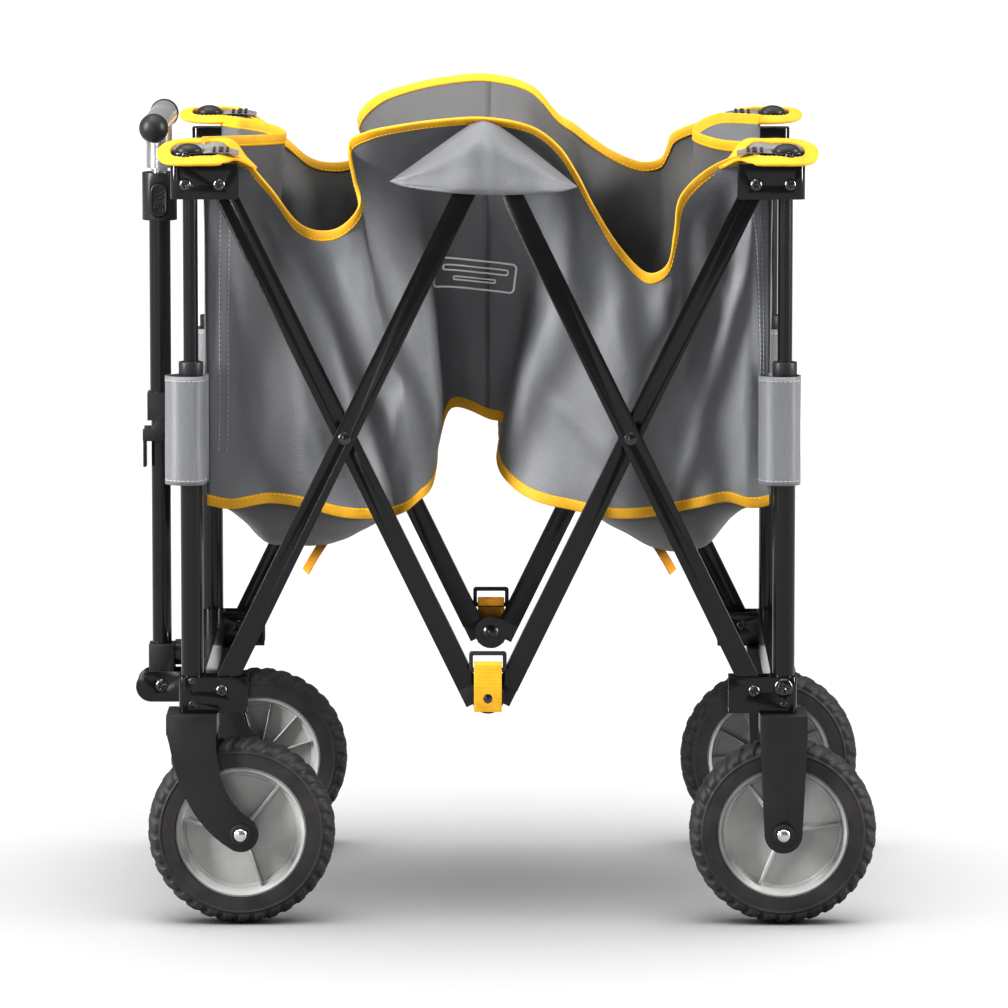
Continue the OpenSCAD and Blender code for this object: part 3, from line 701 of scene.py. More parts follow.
# Folds of the near wall: the ends of each ridge as x and z, its half width and its height
FOLDS = (
    ((-122, 680), (-86, 545), 27, 7), ((-203, 655), (-148, 478), 30, 6),
    ((-245, 700), (-238, 420), 16, 5), ((-188, 560), (-178, 400), 20, 5),
    ((-110, 470), (-95, 400), 15, 5), ((-77, 515), (-96, 415), 15, 7),
    ((-62, 585), (-46, 450), 20, 7), ((-142, 560), (-118, 455), 17, 5),
    ((-222, 610), (-212, 470), 14, 3.5), ((-170, 470), (-150, 395), 13, 4),
    ((98, 690), (60, 540), 28, 7), ((44, 520), (150, 402), 17, 7),
    ((62, 600), (36, 470), 16, 6), ((162, 612), (192, 490), 26, 7),
    ((236, 600), (205, 415), 20, 6), ((250, 700), (246, 420), 14, 5),
    ((128, 600), (122, 500), 17, 5), ((90, 470), (84, 400), 13, 5),
    ((178, 450), (170, 395), 13, 4), ((212, 660), (232, 540), 14, 4),
    ((-12, 640), (-6, 500), 22, 3), ((20, 700), (24, 560), 16, 3),
)
FOLD_BED = 3.5  # the cloth between the folds lies this much further in
FOLD_SIZE = 0.55  # the share of the listed heights that is used
FLOOR_SAG, FLOOR_LIP = 0.062, 0.003  # metres
FLOOR_ROWS = 41
# The start of the random draws of each cloth's ruffles
SEEDS = {"near": 3.0, "far": 19.0, "floor": 41.0, "front": 12.0, "rear": 27.0, "sleeve": 5.0,
         "pocket": 61.0}
# Creases that part the near wall into flat panels: x and z of both ends, and how far in
CREASES = (
    ((-266, 700), (-266, 400), 0, 0), ((-212, 687), (-116, 407), 24, 22),
    ((-134, 683), (-70, 412), 0, 0), ((0, 700), (0, 400), 0, 0),
    ((60, 690), (40, 420), 0, 0), ((114, 690), (88, 420), 15, 8),
    ((170, 602), (118, 440), 0, 0), ((222, 602), (180, 440), 24, 22),
    ((247, 602), (232, 440), 2, 2), ((266, 700), (266, 400), 0, 0),
)


def creased(grid, side):
    """Sets each panel between two creases at a slant, so it catches the light as one flat."""
    z = grid[..., 2] / MM
    move = np.zeros(z.shape)
    for shift in (-5, 0, 5):
        x = grid[..., 0] / MM - HINGE_X + shift
        lines = [(x0 + (x1 - x0) * np.clip((z0 - z) / (z0 - z1), -0.1, 1.1),
                  d0 + (d1 - d0) * np.clip((z0 - z) / (z0 - z1), 0, 1))
                 for (x0, z0), (x1, z1), d0, d1 in CREASES]
        for (xa, da), (xb, db) in zip(lines, lines[1:]):
            part = (x >= xa) & (x < xb)
            t = (x - xa) / np.maximum(xb - xa, 1e-6)
            move = move + np.where(part, da + (db - da) * t, 0) / 3
    hem = np.clip((718 - z) / 60, 0, 1)
    grid = grid.copy()
    grid[..., 1] -= side * move * hem * hem * (3 - 2 * hem) * MM
    return grid


def to_frame(columns):
    grid = np.asarray(columns, float) * MM
    grid[..., 0] += HINGE_X * MM
    return grid


def far_columns():
    """The far wall: the near one mirrored, with a higher middle and a hem that droops less."""
    mirrored = []
    for column in NEAR_WALL:
        points = [(x, -y, z) for x, y, z in column]
        x, y, z = points[0]
        less = 0.4 if x < 0 else 0.6
        points[0] = (x, y, z + (less if z < 738 else 0.4) * abs(738 - z))
        mirrored.append(tuple(points))
    return mirrored


def inside_bars(grid):
    """Keeps cloth below the top hinges clear of the scissor bars."""
    low = grid[..., 2] < 0.735
    grid[..., 1] = np.where(low, np.clip(grid[..., 1], -BARS_IN, BARS_IN), grid[..., 1])
    return grid


def folded(grid, side):
    """Adds the folds to a wall. The far wall, at side 1, has them mirrored."""
    x = grid[..., 0] / MM - HINGE_X
    z = grid[..., 2] / MM
    move = np.zeros(x.shape)
    for (x0, z0), (x1, z1), width, out in FOLDS:
        long = math.hypot(x1 - x0, z1 - z0)
        ahead = ((x1 - x0) / long, (z1 - z0) / long)
        along = ((x - x0) * ahead[0] + (z - z0) * ahead[1]) / long
        off = (x - x0) * ahead[1] - (z - z0) * ahead[0]
        ends = np.clip((0.5 - np.abs(along - 0.5) + 0.22) / 0.44, 0, 1)
        slope = np.clip(1 - np.sqrt((off / width) ** 2 + 0.004), 0, 1) ** 1.4
        move = np.maximum(move, FOLD_SIZE * out * ends * ends * (3 - 2 * ends) * slope)
    rows = np.arange(grid.shape[1]) / (grid.shape[1] - 1)
    quiet = np.clip(np.minimum(rows, 1 - rows) / 0.16, 0, 1)
    grid = grid.copy()
    grid[..., 1] += side * (move - FOLD_BED) * quiet * quiet * (3 - 2 * quiet) * MM
    return grid


def bind_edge(name, grid, row, inward, stitch=True, tape=None, drop=0.0036):
    """Binding tape folded over one edge row of a sheet, with its stitches."""
    line = grid[:, row]
    normal = normals_of(grid)[:, row]
    down = unit(grid[:, inward] - line)
    obj = sweep(name, line + down * drop, down, normal,
                flat_section(TAPE_W, TAPE_T), [tape or YELLOW])
    if not stitch:
        return obj
    rows = [obj]
    for sign in (1, -1):
        offset = down * (drop + TAPE_W * 0.34) + sign * normal * (TAPE_T / 2 - 0.0001)
        rows.append(stitches(name + "_thread", line, sign * normal, offset))
    return merge(name, rows)


def blend_half(obj):
    """Bakes a bag piece's placement into its mesh."""
    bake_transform(obj)
    return obj


def halves(grid):
    """The front and rear parts of a full-length grid, front first."""
    cut = MIDDLE * CUTS_ALONG
    return (("front", grid[:cut + 1]), ("rear", grid[cut:]))


def side_wall(side, columns):
    """A long wall in two halves, with its hem, its floor tape and a stitched corner seam."""
    grid = smooth_sheet(to_frame(columns), CUTS_ALONG, CUTS_DOWN)
    grid = ruffled(folded(creased(grid, side), side), 0.0030, 0.0016, SEEDS[side_name(side)])
    grid = inside_bars(grid)
    out = side * normals_of(grid)
    for half, part in halves(grid):
        name = f"{side_name(side)}_wall_{half}"
        corner = CORNER_SEAM if half == "front" else -CORNER_SEAM - 1
        rows = [stitches(name + "_seam", grid[column, 6:-6], out[column, 6:-6],
                         out[column, 6:-6] * 0.0008, material=GREY_THREAD)
                for column in (corner, corner - 2 * toward(half))]
        if side > 0:
            part = part[::-1]
        wall = cloth(name, part)
        hem = merge(name + "_hem", [bind_edge(name + "_hem", part, 0, 3)] + rows)
        seam = bind_edge(name + "_floor_tape", part, -1, -4)
        for obj in (wall, hem, seam):
            blend_half(obj)
        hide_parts(f"bag_{half}_half")
    return grid


def floor_sheet(near, far):
    """The floor: from the near wall's floor seam to the far one's, sagging in each half."""
    t = np.linspace(0, 1, FLOOR_ROWS)[None, :, None]
    grid = near[:, -1, None] * (1 - t) + far[:, -1, None] * t
    across = np.sin(np.pi * t[..., 0])
    x = (grid[..., 0] / MM - HINGE_X) / 268
    # the sag starts at the end wall's seam and dies out towards the middle hinges
    pull = np.clip(np.minimum((0.992 - np.abs(x)) / 0.22, (np.abs(x) - 0.22) / 0.5), 0, 1)
    pull = pull * pull * (3 - 2 * pull)
    grid[..., 2] -= FLOOR_SAG * pull * across ** 0.8 + FLOOR_LIP * across ** 1.3
    grid = ruffled(grid, 0.004, 0.0012, SEEDS["floor"])
    for half, part in halves(grid):
        obj = cloth(f"floor_{half}", part[:, ::-1])
        blend_half(obj)


def end_wall(half):
    """A slack end wall that bows into the bag at its hem, with binding along the top."""
    side = toward(half)
    heights = {"front": (747, 741, 735, 738, 737), "rear": (741, 736, 739, 747, 738)}[half]
    columns = []
    for k in range(-6, 7):
        y = 204 * math.sin(k / 6 * math.pi / 2)
        bow = math.cos(y / 204 * math.pi / 2) ** 1.3
        top = float(np.interp(y, (-204, -110, 0, 110, 204), heights))
        columns.append([(side * (268 - 70 * bow), y, top),
                        (side * (267 - 63 * bow), y, 655),
                        (side * (267 - 47 * bow), y, 570),
                        (side * (267 - 26 * bow), y, 485),
                        (side * 267, y, 399 - 3 * bow)])
    grid = smooth_sheet(to_frame(columns), 9, 10)
    grid = ruffled(grid, 0.005, 0.0016, SEEDS[half])
    if half == "front":
        grid = grid[::-1]
    wall = cloth(f"{half}_end_wall", grid)
    hem = bind_edge(f"{half}_end_hem", grid, 0, 3, drop=0.005)
    slotted(wall, half + "_top", f"bag_{half}_end")
    slotted(hem, half + "_top")


# The way round a post: the front sleeves are slack outwards, the rear ones inwards
SLEEVE_PATHS = {
    "front": ((264.6, 204.8), (266, 208), (266.6, 214), (267.2, 224), (270, 232.3), (276, 236.6),
              (285, 237), (293, 234.6), (299.5, 229.5), (303.6, 222.5), (301, 215.5), (295, 209),
              (288, 204.8), (280, 203.2), (270, 203.0)),
    "rear": ((262, 204.8), (257.6, 208.5), (256.2, 216), (258.2, 225), (264, 232), (272, 236.2),
             (281, 237), (288.4, 234.4), (293, 228.3), (294.4, 220), (292.4, 212), (288, 206.2),
             (281, 203.4), (272, 203.0), (265, 203.4)),
}
SLEEVE_HEIGHTS = (523, 488, 453, 420)


def sleeve(half, side):
    """The tab of cloth that wraps a post at mid height."""
    x_sign = toward(half)
    columns = [[(x_sign * x, side * y, z) for z in SLEEVE_HEIGHTS]
               for x, y in SLEEVE_PATHS[half]]
    grid = smooth_sheet(to_frame(columns), 5, 8)
    grid = ruffled(grid, 0.0008, 0.0004, SEEDS["sleeve"] + x_sign + 2 * side, (1, 1, 0, 0))
    if x_sign * side > 0:
        grid = grid[::-1]
    obj = cloth(f"{half}_{side_name(side)}_sleeve", grid, 0.0016, CLOTH)
    normal = normals_of(grid)
    threads = [stitches(obj.name + "_thread", grid[:, row], -normal[:, row],
                        -normal[:, row] * 0.0009, material=GREY_THREAD) for row in (1, -2)]
    slotted(obj, half + "_top", slot="grey_fabric")
    for thread in threads:
        thread.parent = obj


def corner_flap(half, side):
    """The bound tongue that buttons down on a top bracket."""
    x_sign = toward(half)
    name = f"{half}_{side_name(side)}_flap"
    # the outline, out round the tongue and back: x, y, how far down its slope, 1 at the foot
    outer = [(219, 205, 0), (236, 220, 0.7), (252, 234, 1.0), (272, 241, 1.0), (292, 240, 1.0),
             (305, 231, 0.9), (309, 217, 0.5), (302, 203, 0.15), (284, 195, 0), (262, 192, 0),
             (242, 193, 0), (228, 198, 0)]
    foot, head, hem, flat = (724, 743, 718, 730) if side < 0 else (741, 731, 724, 735)
    centre = np.array((270, 217, flat))
    rings = []
    for t in (1.0, 0.86, 0.66, 0.4, 0.16):
        ring = []
        for x, y, low in outer:
            near_hem = max(0.0, 1 - math.dist((x, y), (219, 205)) / 26)
            edge = np.array((x, y, head + (foot - head) * low))
            edge[2] += (hem - edge[2]) * near_hem ** 0.7
            lift = 2.4 * (1 - abs(2 * t - 1) ** 2) if t < 0.9 else 0
            ring.append(centre + (edge - centre) * t + (0, 0, lift))
        rings.append([(x_sign * x, side * y, z) for x, y, z in ring])
    closed = [ring + ring[:1] for ring in rings]
    grid = to_frame(np.array(closed).transpose(1, 0, 2))
    dense = smooth(grid, 5)
    dense = smooth(dense.transpose(1, 0, 2), 4).transpose(1, 0, 2)
    if x_sign * side < 0:
        dense = dense[::-1]
    columns, rows = dense.shape[:2]
    points = dense[:-1].reshape(-1, 3)
    faces = grid_faces(columns - 1, rows, close_rows=True)
    points = np.concatenate([points, points[rows - 1::rows].mean(axis=0, keepdims=True)])
    last = len(points) - 1
    for k in range(columns - 1):
        faces.append((k * rows + rows - 1, (k + 1) % (columns - 1) * rows + rows - 1, last))
    obj = piece(name, points, faces, [CLOTH, CLOTH], points[:, :2], angle=180)
    thicken(obj, 0.0016)
    tape_line = dense[:, 0]
    inward = unit(dense[:, 3] - tape_line)
    up = normals_of(dense)[:, 0]
    wide = sweep(name + "_binding", tape_line[:-1] + inward[:-1] * 0.0050, inward[:-1], up[:-1],
                 flat_section(0.0135, 0.0040), [YELLOW], closed=True)
    thread = [stitches(name + "_thread", tape_line, sign * up,
                       inward * 0.0102 + sign * up * 0.0019) for sign in (1, -1)]
    wide = merge(name + "_binding", [wide] + thread)
    slotted(obj, half + "_top", slot="grey_fabric")
    slotted(wide, half + "_top")


BUTTON_FLANGE = ((0.0, -0.6), (11, -0.6), (15.6, 0), (16.2, 0.8), (15.6, 1.6), (12.9, 2.2),
                 (12.2, 2.2), (0.0, 2.2))
BUTTON_DOME = ((0.0, 2.0), (11.6, 2.0), (11.6, 2.8), (10.8, 4.4), (8.6, 6.2), (5.2, 7.5),
               (2.0, 8.0), (0.0, 8.1))


def button(half, side):
    """A domed plug in an oval flange, and the webbing tab beside it with its dark bars."""
    x_sign = toward(half)
    name = f"{half}_{side_name(side)}_button"
    centre = at(x_sign * 281, side * 218, 733.4 if side < 0 else 738)
    tilt = Matrix.Rotation(math.radians(9), 3, "X")

    def placed(points, wide, deep):
        return [tilt @ Vector((p[0] * wide, p[1] * deep, p[2])) + centre for p in points]

    parts = []
    for part, profile, wide, material in (("flange", BUTTON_FLANGE, 1.06, CHROME),
                                          ("plug", BUTTON_DOME, 1.04, PLASTIC)):
        points, faces = lathe(profile, 48)
        parts.append(piece(f"{name}_{part}", placed(points, wide, 0.84), faces, [material],
                           angle=35))
    line = smooth(placed([(-x_sign * x * MM, 0, z * MM) for x, z in
                          ((13, 0.6), (22, 1.5), (30, 1.6), (40, 0.8), (47, -0.8))], 1, 1), 4)
    across = np.tile(tilt @ Vector((0, 1, 0)), (len(line), 1))
    up = np.tile(tilt @ Vector((0, 0, 1)), (len(line), 1))
    tab = sweep(name + "_tab", line, across, up, flat_section(0.016, 0.0022), [CLOTH])
    bars = []
    for x, wide in ((24, 0.0028), (30.5, 0.0045), (36.5, 0.0028)):
        ends = placed([(-x_sign * x * MM, y * MM, 2.7 * MM) for y in (-8.2, -3, 3, 8.2)], 1, 1)
        bars.append(sweep(name + "_bar", ends, np.tile((1.0, 0, 0), (4, 1)), up[:4],
                          flat_section(wide, 0.0014), [PLASTIC]))
    for obj in (*parts, tab, merge(name + "_bars", bars)):
        slotted(obj, half + "_top")


def pocket(side):
    """The rounded hood over the middle hinge, sewn to the wall along two slanted seams."""
    name = f"{side_name(side)}_pocket"
    left, right, apex = (-92, 706), (84, 701), (-2, 763)
    columns = []
    for k in range(17):
        t = k / 16
        turn = 2 * t - 1
        peak = math.sin(math.pi * t)
        x = left[0] * (1 - t) + right[0] * t
        tip = left[1] * (1 - t) + right[1] * t
        top = tip + (apex[1] - tip) * (1 - (turn * turn + 0.02) ** 0.5) / (1 - 0.02 ** 0.5)
        low = tip - 8.5 * peak ** 0.6
        pleat = 0.9 * peak * math.cos(9 * turn)
        seam = 214 + 5 * peak
        belly = 215 + 22.5 * peak ** 0.42 - 3.5 * math.exp(-(turn / 0.14) ** 2)
        column = []
        for f, out in ((0, 0), (0.1, 0.5), (0.3, 0.93), (0.6, 1.0), (0.9, 1.0), (1, 0.9)):
            gather = x * (1 - 0.10 * peak * math.sin(math.pi * f))
            column.append((gather, side * (seam + out * (belly - seam + pleat)),
                           top + (low - top) * f))
        columns.append(column)
    grid = smooth_sheet(to_frame(columns), 5, 7)
    grid = ruffled(grid, 0.0026, 0.0012, SEEDS["pocket"] + side)
    if side > 0:
        grid = grid[::-1]
    obj = cloth(name, grid)
    normal = normals_of(grid)
    rows = [stitches(name + "_thread", grid[3:-3, row], normal[3:-3, row],
                     normal[3:-3, row] * 0.0008, material=GREY_THREAD) for row in (-4, 2)]
    slotted(obj, "centre_top", "top_pockets")
    for thread in rows:
        thread.parent = obj


def label(grid):
    """A plain woven label on the middle panel: an outline and two bars, with no lettering."""
    wall = piece("label_target", grid.reshape(-1, 3), grid_faces(*grid.shape[:2]), [CLOTH])
    tree = BVHTree.FromPolygons([v.co for v in wall.data.vertices],
                                [tuple(p.vertices) for p in wall.data.polygons])
    bpy.data.objects.remove(wall)
    tilt = math.radians(-7)
    middle_x, middle_z = -13, 607

    def band(outline, width):
        points, count = [], len(outline)
        for k in range(count):
            a, b = Vector(outline[k - 1]), Vector(outline[(k + 1) % count])
            ahead = (b - a).normalized()
            across = Vector((-ahead.y, ahead.x)) * width / 2
            for s in (1, -1):
                u, w = Vector(outline[k]) + s * across
                points.append((u * math.cos(tilt) - w * math.sin(tilt) + middle_x,
                               u * math.sin(tilt) + w * math.cos(tilt) + middle_z))
        placed = []
        for x, z in points:
            start = at(x, -300, z)
            hit = tree.ray_cast(start, Vector((0, 1, 0)))[0] or at(x, -110, z)
            placed.append(hit + Vector((0, -0.0012, 0)))
        faces = [(2 * k, (2 * k + 2) % (2 * count), (2 * k + 3) % (2 * count), 2 * k + 1)
                 for k in range(count)]
        return placed, faces

    def rounded(width, height, radius, step):
        outline = []
        for cx, cy, start in ((1, 1, 0), (-1, 1, 90), (-1, -1, 180), (1, -1, 270)):
            for k in range(5):
                turn = math.radians(start + 22.5 * k)
                outline.append((cx * (width / 2 - radius) + radius * math.cos(turn),
                                cy * (height / 2 - radius) + radius * math.sin(turn)))
        dense = []
        for k, p in enumerate(outline):
            q = outline[(k + 1) % len(outline)]
            gap = math.dist(p, q)
            for j in range(max(1, int(gap / step))):
                t = j / max(1, int(gap / step))
                dense.append((p[0] + (q[0] - p[0]) * t, p[1] + (q[1] - p[1]) * t))
        return dense

    points, faces = [], []
    shapes = [(rounded(77, 28, 4, 3), 2.0), (rounded(62, 5, 1.8, 3), 1.7),
              (rounded(40, 3.2, 1.3, 3), 1.6)]
    for k, (outline, width) in enumerate(shapes):
        if k:
            outline = [(x, y + (5 if k == 1 else -5)) for x, y in outline]
        placed, band_faces = band(outline, width)
        start = len(points)
        points += placed
        faces += [tuple(start + i for i in face) for face in band_faces]
    obj = piece("plain_label", points, faces, [PRINT])
    thicken(obj, 0.0005, inner=0)
    slotted(obj, "centre_top")


def floor_strap(half):
    """A loose amber strap end hanging under the floor."""
    side = toward(half)
    path = [(150, 0, 352), (155, -6, 344), (163, -10, 334), (172, -12, 320), (179, -14, 308)]
    line = smooth([at(side * x, y, z) for x, y, z in path], 6)
    ahead = unit(np.gradient(line, axis=0))
    across = unit(np.tile((0.25 * side, 0.96, 0.1), (len(line), 1)))
    obj = sweep(f"floor_strap_{half}", line, across, np.cross(across, ahead),
                flat_section(0.025, 0.0018), [ORANGE])
    blend_half(obj)


def bag():
    near = side_wall(-1, NEAR_WALL)
    far = side_wall(1, far_columns())
    floor_sheet(near, far)
    for half in ("front", "rear"):
        end_wall(half)
        floor_strap(half)
        for side in (-1, 1):
            sleeve(half, side)
            corner_flap(half, side)
            button(half, side)
    for side in (-1, 1):
        pocket(side)
    label(near)


# ---- Wheels ----
SECTION_STEPS = 44
LUGS, STEPS_PER_LUG = 34, 16
LUG_LIFT = 3.0
BEAD_R = 62.8
BELT_R = 70  # the section's middle radius, which the lugs grow away from
# The rings on a side wall: radius, height and half width
RINGS = ((76.4, 0.9, 0.5), (64.6, 0.45, 0.8))


def tyre_section():
    """Half-oval tyre section from the near bead over the tread to the far bead."""
    low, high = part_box("front_left_tyre")
    outer = (high.z - low.z) / 2 / MM
    half = (high.y - low.y) / 2 / MM
    points = []
    for k in range(SECTION_STEPS + 1):
        a = math.pi * k / SECTION_STEPS
        c, s = math.cos(a), math.sin(a)
        r = BEAD_R + (outer - LUG_LIFT - BEAD_R) * abs(s) ** 0.5
        y = (half - 1.0) * math.copysign(abs(c) ** 0.55, c)
        points.append((r, y, a))
    return points, outer, half


def step_up(value, edge, steepness):
    """Rises smoothly from 0 to 1 as value passes edge."""
    return 1 / (1 + math.exp(-steepness * (value - edge)))


def tyre(name, centre):
    """Tyre with two staggered rows of chunky lugs and raised rings on its side walls."""
    section, outer, half = tyre_section()
    steps = LUGS * STEPS_PER_LUG
    points = []
    for k in range(steps):
        turn = 2 * math.pi * k / steps
        phase = LUGS * k / steps
        for r, y, a in section:
            side = 1 if y >= 0 else -1
            lean = 0.22 * math.sin(a * 3)
            beat = (phase + (0.5 if side > 0 else 0) + lean) % 1
            block = step_up(0.31 - abs(beat - 0.5), 0, 55)
            groove = step_up(abs(y), 1.2, 4.2)
            centre_rib = 0.75 * math.exp(-(y / 2.6) ** 2)
            lift = LUG_LIFT * step_up(r, 79.0, 2.6) * max(block * groove, centre_rib)
            ring = sum(high * math.exp(-((r - at_r) / wide) ** 2) for at_r, high, wide in RINGS)
            grow = math.hypot(r - BELT_R, y * 1.2) or 1
            radius = min(outer, r + lift * max(0.35, (r - BELT_R) / grow))
            reach = max(-half, min(half, y + side * (lift * 0.42 * abs(y) / half + ring)))
            points.append(Vector((radius * math.cos(turn) * MM, radius * math.sin(turn) * MM,
                                  reach * MM)))
    columns = len(section)
    faces = grid_faces(steps, columns, close_rows=True)
    inner = [(k * columns + columns - 1, k * columns, (k + 1) % steps * columns,
              (k + 1) % steps * columns + columns - 1) for k in range(steps)]
    obj = piece(name + "_treaded", about_y(points, centre), faces + inner, [RUBBER], angle=45)
    return slotted(face_outwards(obj), BODY_OF[name], name)


# Half a hub's section, from the bore over the boss and the dish to the rim, in radius and depth
HUB_PROFILE = ((6.2, 25.4), (11.6, 25.4), (12.6, 24.4), (13.2, 8.0), (14.2, 5.2), (48, 4.4),
               (52.5, 4.6), (53.2, 6.2), (55.6, 6.8), (56.4, 8.4), (57.6, 16.2), (58.4, 17.6),
               (60.4, 18.4), (62.3, 17.8), (62.9, 16.4))
# The angles of the first broad and the first thin rib of each wheel at rest, in degrees
HUB_RIBS = {"front_left": (50, 12), "front_right": (20, 17), "rear_left": (7, 5),
            "rear_right": (60, 0)}


def hub(name, centre, outward, broad, thin):
    """Moulded hub: bright lip, stepped dish, three broad ribs outside and twelve thin inside."""
    points, faces = lathe(HUB_PROFILE + tuple((r, -h) for r, h in reversed(HUB_PROFILE)), 96)
    parts = [piece(name + "_moulded", about_y(points, centre), faces, [HUB], angle=30)]

    def rib(turn, side, thick, inner, outer_z):
        c, s = math.cos(turn), math.sin(turn)
        corners = []
        for r, h in ((11.5, inner), (30, inner * 0.62 + outer_z * 0.38), (56.8, outer_z)):
            for w, z in ((-thick, 3.0), (-thick * 0.62, h), (thick * 0.62, h), (thick, 3.0)):
                corners.append(Vector(((r * c - w * s) * MM, (r * s + w * c) * MM, z * MM)))
        ring = [(4 * k + j, 4 * k + (j + 1) % 4, 4 * (k + 1) + (j + 1) % 4, 4 * (k + 1) + j)
                for k in range(2) for j in range(4)]
        obj = piece(name + "_rib", about_y(corners, centre, side),
                    ring + [(3, 2, 1, 0), (8, 9, 10, 11)], [HUB])
        return bevelled(obj, 0.0006)

    parts += [rib(math.radians(broad + 120 * k), outward, 2.4, 14, 9.5) for k in range(3)]
    parts += [rib(math.radians(thin + 30 * k), -outward, 0.9, 16, 11) for k in range(12)]
    obj = merge(name + "_moulded", parts)
    return slotted(face_outwards(obj), BODY_OF[name], name)


def wheels():
    for corner, (broad, thin) in HUB_RIBS.items():
        centre = middle(corner + "_tyre")
        tyre(corner + "_tyre", centre)
        hub(corner + "_hub", centre, -1 if corner.endswith("left") else 1, broad, thin)


CAP_CUP = ((0, -6), (10.2, -6), (10.2, -1.2), (9.6, -0.1), (8.4, 0.4), (6.6, 0.4), (6.2, 0.1),
           (0, 0.1))
CAP_DOME = ((0, 0), (5.9, 0), (5.9, 0.5), (5.2, 1.2), (3.4, 1.9), (1.4, 2.2), (0, 2.2))
AXLE_LONG = 0.05  # metres; a caster's axle bolt is longer than this, its kingpin is thinner
OUTER_NUT = 0.24  # metres from the middle plane; only the outer nuts lie beyond this


def axle_caps():
    """A dark cup with a bright domed end over each outer axle nut."""
    for node in ("front_left_caster_bolts", "front_right_caster_bolts", "rear_axle_bolts"):
        for k, (low, high) in enumerate(islands(node)):
            sign = 1 if high.y > OUTER_NUT else -1
            tip = high.y if sign > 0 else low.y
            if high.y - low.y < AXLE_LONG or abs(tip) < OUTER_NUT:
                continue
            centre = Vector(((low.x + high.x) / 2, tip, (low.z + high.z) / 2))
            for part, profile, material in (("cup", CAP_CUP, PLASTIC), ("dome", CAP_DOME, ZINC)):
                points, faces = lathe(profile, 40)
                obj = piece(f"{node}_{part}_{k}_{'out' if sign > 0 else 'near'}",
                            about_y(points, centre, sign), faces, [material], angle=35)
                slotted(obj, BODY_OF[node])


# ---- Screws ----
def cross_head(radius, height):
    """A domed head with a cross recess, as points and faces about Z, in metres."""
    count, points, faces = 22, [], []
    for i in range(count + 1):
        for j in range(count + 1):
            a, b = 2 * i / count - 1, 2 * j / count - 1
            x = a * math.sqrt(1 - b * b / 2)
            y = b * math.sqrt(1 - a * a / 2)
            r = min(1.0, math.hypot(x, y))
            h = (1 - r ** 2.6) ** 0.72
            arm = max(min(0.13 - abs(x), 0.52 - abs(y)), min(0.13 - abs(y), 0.52 - abs(x)))
            deep = 1 / (1 + math.exp(-46 * arm))
            h -= deep * (0.75 - 0.8 * r)
            points.append(Vector((x * radius, y * radius, h * height)))
    faces = grid_faces(count + 1, count + 1)
    rim = ([i * (count + 1) for i in range(count + 1)]
           + [count * (count + 1) + j for j in range(1, count + 1)]
           + [i * (count + 1) + count for i in range(count - 1, -1, -1)]
           + [j for j in range(count - 1, 0, -1)])
    start = len(points)
    points += [Vector((points[k].x, points[k].y, -0.0015)) for k in rim]
    for k, index in enumerate(rim):
        after = (k + 1) % len(rim)
        faces.append((index, rim[after], start + after, start + k))
    faces.append(tuple(range(start, start + len(rim))))
    return points, faces


def heads(node, places):
    """Cross-recessed heads in place of a CAD node of screws, each with its centre, the way it
    faces along Y, its radius, its height and its turn in degrees."""
    all_points, all_faces = [], []
    for centre, sign, radius, height, turn in places:
        points, faces = cross_head(radius, height)
        spin = Matrix.Rotation(math.radians(turn), 3, "Z")
        points = about_y([spin @ p for p in points], centre, sign)
        start = len(all_points)
        all_points += points
        all_faces += [tuple(start + i for i in face) for face in faces]
    obj = piece(node + "_heads", all_points, all_faces, [CHROME], angle=50)
    return slotted(face_outwards(obj), BODY_OF[node], node)


SPACER_Z = 0.02  # metres; solids taller than this are no screws
SMALL_R = 0.0045  # metres; a head smaller than this is a low one, and has no inner end
LOW_HEAD, HEAD = 0.0008, 0.0028
THROUGH_Y, TUBE_Y = 0.026, 0.2095  # a longer screw that ends nearer has a full head there too
SHORT_END = 0.0012


def bracket_screws():
    """The screws of the four upper and four lower brackets, from each CAD solid's box."""
    for half in ("front", "rear"):
        for level in ("upper", "lower"):
            node = f"{half}_{level}_screws"
            places = []
            for k, (low, high) in enumerate(islands(node)):
                size = high - low
                if size.z > SPACER_Z:
                    continue
                centre = (low + high) / 2
                side = 1 if centre.y > 0 else -1
                radius = size.z / 2
                small = radius < SMALL_R
                height = LOW_HEAD if small else HEAD
                outer = high.y if side > 0 else low.y
                places.append(((centre.x, outer - side * height, centre.z), side, radius,
                               height, 37 * k))
                if not small:
                    inner = low.y if side > 0 else high.y
                    depth = HEAD if size.y > THROUGH_Y and abs(inner) < TUBE_Y else SHORT_END
                    places.append(((centre.x, inner + side * depth, centre.z), -side,
                                   radius * 0.95, depth, 61 * k))
            heads(node, places)


# ---- Handle ----
BUTTON_COUNT = 48  # points round the lock button
# The button's face from its foot inwards: share of the outline and depth behind the CAD face
BUTTON_RINGS = ((1.0, 0.0045), (1.0, 0.0016), (0.95, 0.0007), (0.86, 0.0002), (0.80, 0.0006),
                (0.4, 0.0005))


def ridge(path, place, radius=0.00065):
    """A raised line on the lock button through a path of x and z in millimetres."""
    x, face, z = place
    line = smooth([Vector((x + u * MM, face + 0.0003, z + w * MM)) for u, w in path], 4)
    ahead = unit(np.gradient(line, axis=0))
    out = np.tile((0, -1.0, 0), (len(line), 1))
    section = [(radius * math.cos(math.pi * k / 5), radius * math.sin(math.pi * k / 5))
               for k in range(10)]
    return sweep("ridge", line, np.cross(out, ahead), out, section, [PLASTIC])


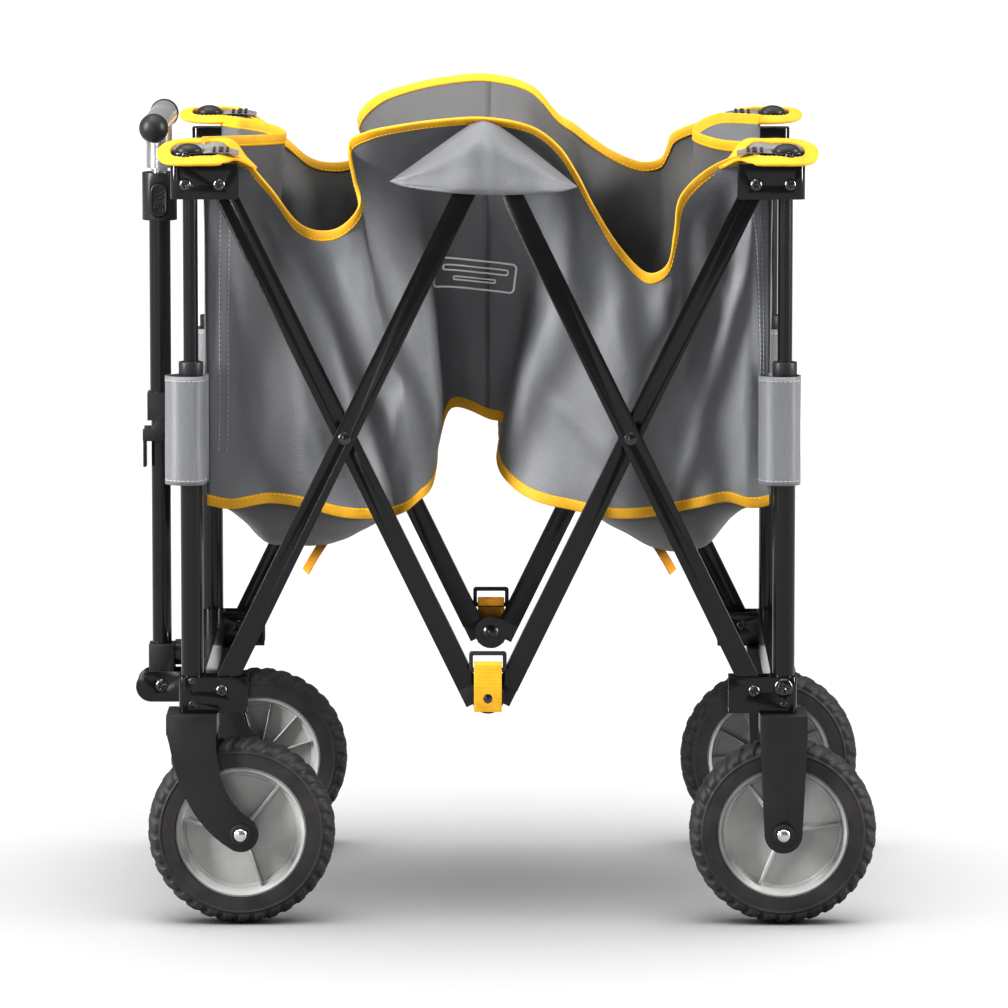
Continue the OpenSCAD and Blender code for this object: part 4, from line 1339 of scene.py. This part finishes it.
def lock_button():
    """The oval lock button with three chevrons over two raised rings."""
    node = "handle_lock_button"
    low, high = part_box(node)
    place = x, face, z = (low.x + high.x) / 2, low.y, (low.z + high.z) / 2
    half_x, half_z = (high.x - low.x) / 2 - 0.0002, (high.z - low.z) / 2 - 0.0002
    outline = []
    for k in range(BUTTON_COUNT):
        c, s = (f(2 * math.pi * k / BUTTON_COUNT) for f in (math.cos, math.sin))
        outline.append((half_x * c, half_x * s + math.copysign(half_z - half_x, s)))
    points = [Vector((x + u * t, face + d, z + w * t)) for t, d in BUTTON_RINGS
              for u, w in outline]
    faces = grid_faces(len(BUTTON_RINGS), BUTTON_COUNT, close_columns=True)
    faces.append(tuple(range(len(points) - BUTTON_COUNT, len(points))))
    parts = [piece("lock_button_relief", points, faces, [PLASTIC], angle=50)]
    for base in (10.5, 6.3, 2.1):
        parts.append(ridge([(-4.6, base + 2.2), (-2.3, base + 0.6), (0, base - 1.0),
                            (2.3, base + 0.6), (4.6, base + 2.2)], place))
    for radius in (2.0, 4.4):
        turns = [math.pi * k / 8 for k in range(17)]
        parts.append(ridge([(radius * math.cos(a), radius * math.sin(a) - 8) for a in turns],
                           place))
    slotted(merge("lock_button_relief", parts), BODY_OF[node], node)


# ---- Straps at the lower middle hinges ----
def hinge_strap(side):
    low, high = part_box("hinge_straps")
    bottom, top = low.z / MM, high.z / MM
    colour = YELLOW if side < 0 else ORANGE
    path = [(224.6, bottom + 0.8), (225.6, bottom + 8), (226.0, 216), (225.9, 228), (225.0, 237),
            (224.2, 243), (223.4, top - 4.5), (221.2, top - 2.4), (218.9, top - 4.6),
            (218.3, top - 10)]
    line = smooth([at(0, side * y, z) for y, z in path], 5)
    ahead = unit(np.gradient(line, axis=0))
    across = np.tile((1.0, 0, 0), (len(line), 1))
    obj = sweep(f"{side_name(side)}_hinge_strap", line, across,
                np.cross(ahead, across), flat_section(0.0266, 0.0016), [colour])
    out = np.cross(ahead, across) * (-side)
    rows = [stitches(obj.name + "_thread", line[2:28], out[2:28],
                     out[2:28] * 0.0008 + np.array((x * MM, 0, 0))) for x in (-11.2, 11.2)]
    slotted(obj, BODY_OF["hinge_straps"], "hinge_straps")
    for row in rows:
        row.parent = obj


# ---- Everything ----
KEPT = {
    PAINT: both("posts", "sliders", "crossbar") + ("handle_lower_tube", "handle_upper_tube"),
    CHROME: both("crossing_rivets") + ("top_hinge_pins", "bottom_hinge_bolts"),
    STEEL: ("handle_stem",),
    GRIP: ("handle_grip",),
    PLASTIC: ("grip_end_caps",),
    ZINC: ("front_left_caster_bolts", "front_right_caster_bolts", "rear_axle_bolts"),
}
# How far the edges are rounded, in metres, and the nodes
ROUNDED = {
    PLASTIC: (0.0008, both("collars", "top_knuckles", "bottom_knuckles")
              + ("handle_socket", "handle_lock_housing", "clamp_block", "clamp_lever",
                 "strap_rings")),
    FORK_PAINT: (0.0012, ("front_left_fork", "front_right_fork", "rear_forks")),
    PAINT: (0.0019, ("front_rising_bars", "front_falling_bars", "rear_rising_bars",
                     "rear_falling_bars") + both("top_brackets", "bottom_brackets")
            + ("handle_bracket",)),
}


def hardware():
    for material, nodes in KEPT.items():
        for node in nodes:
            obj = NODES[node]
            for slot in obj.material_slots:
                slot.material = material
    for material, (width, nodes) in ROUNDED.items():
        for node in nodes:
            softened(node, width, material)
    bracket_screws()
    lock_button()
    for side in (-1, 1):
        hinge_strap(side)
    wheels()
    axle_caps()


camera()
studio()
hardware()
bag()

for obj in bpy.context.scene.objects:
    if obj.type == "MESH" and obj.name != "Floor":
        LIT.objects.link(obj)
bpy.context.view_layer.update()
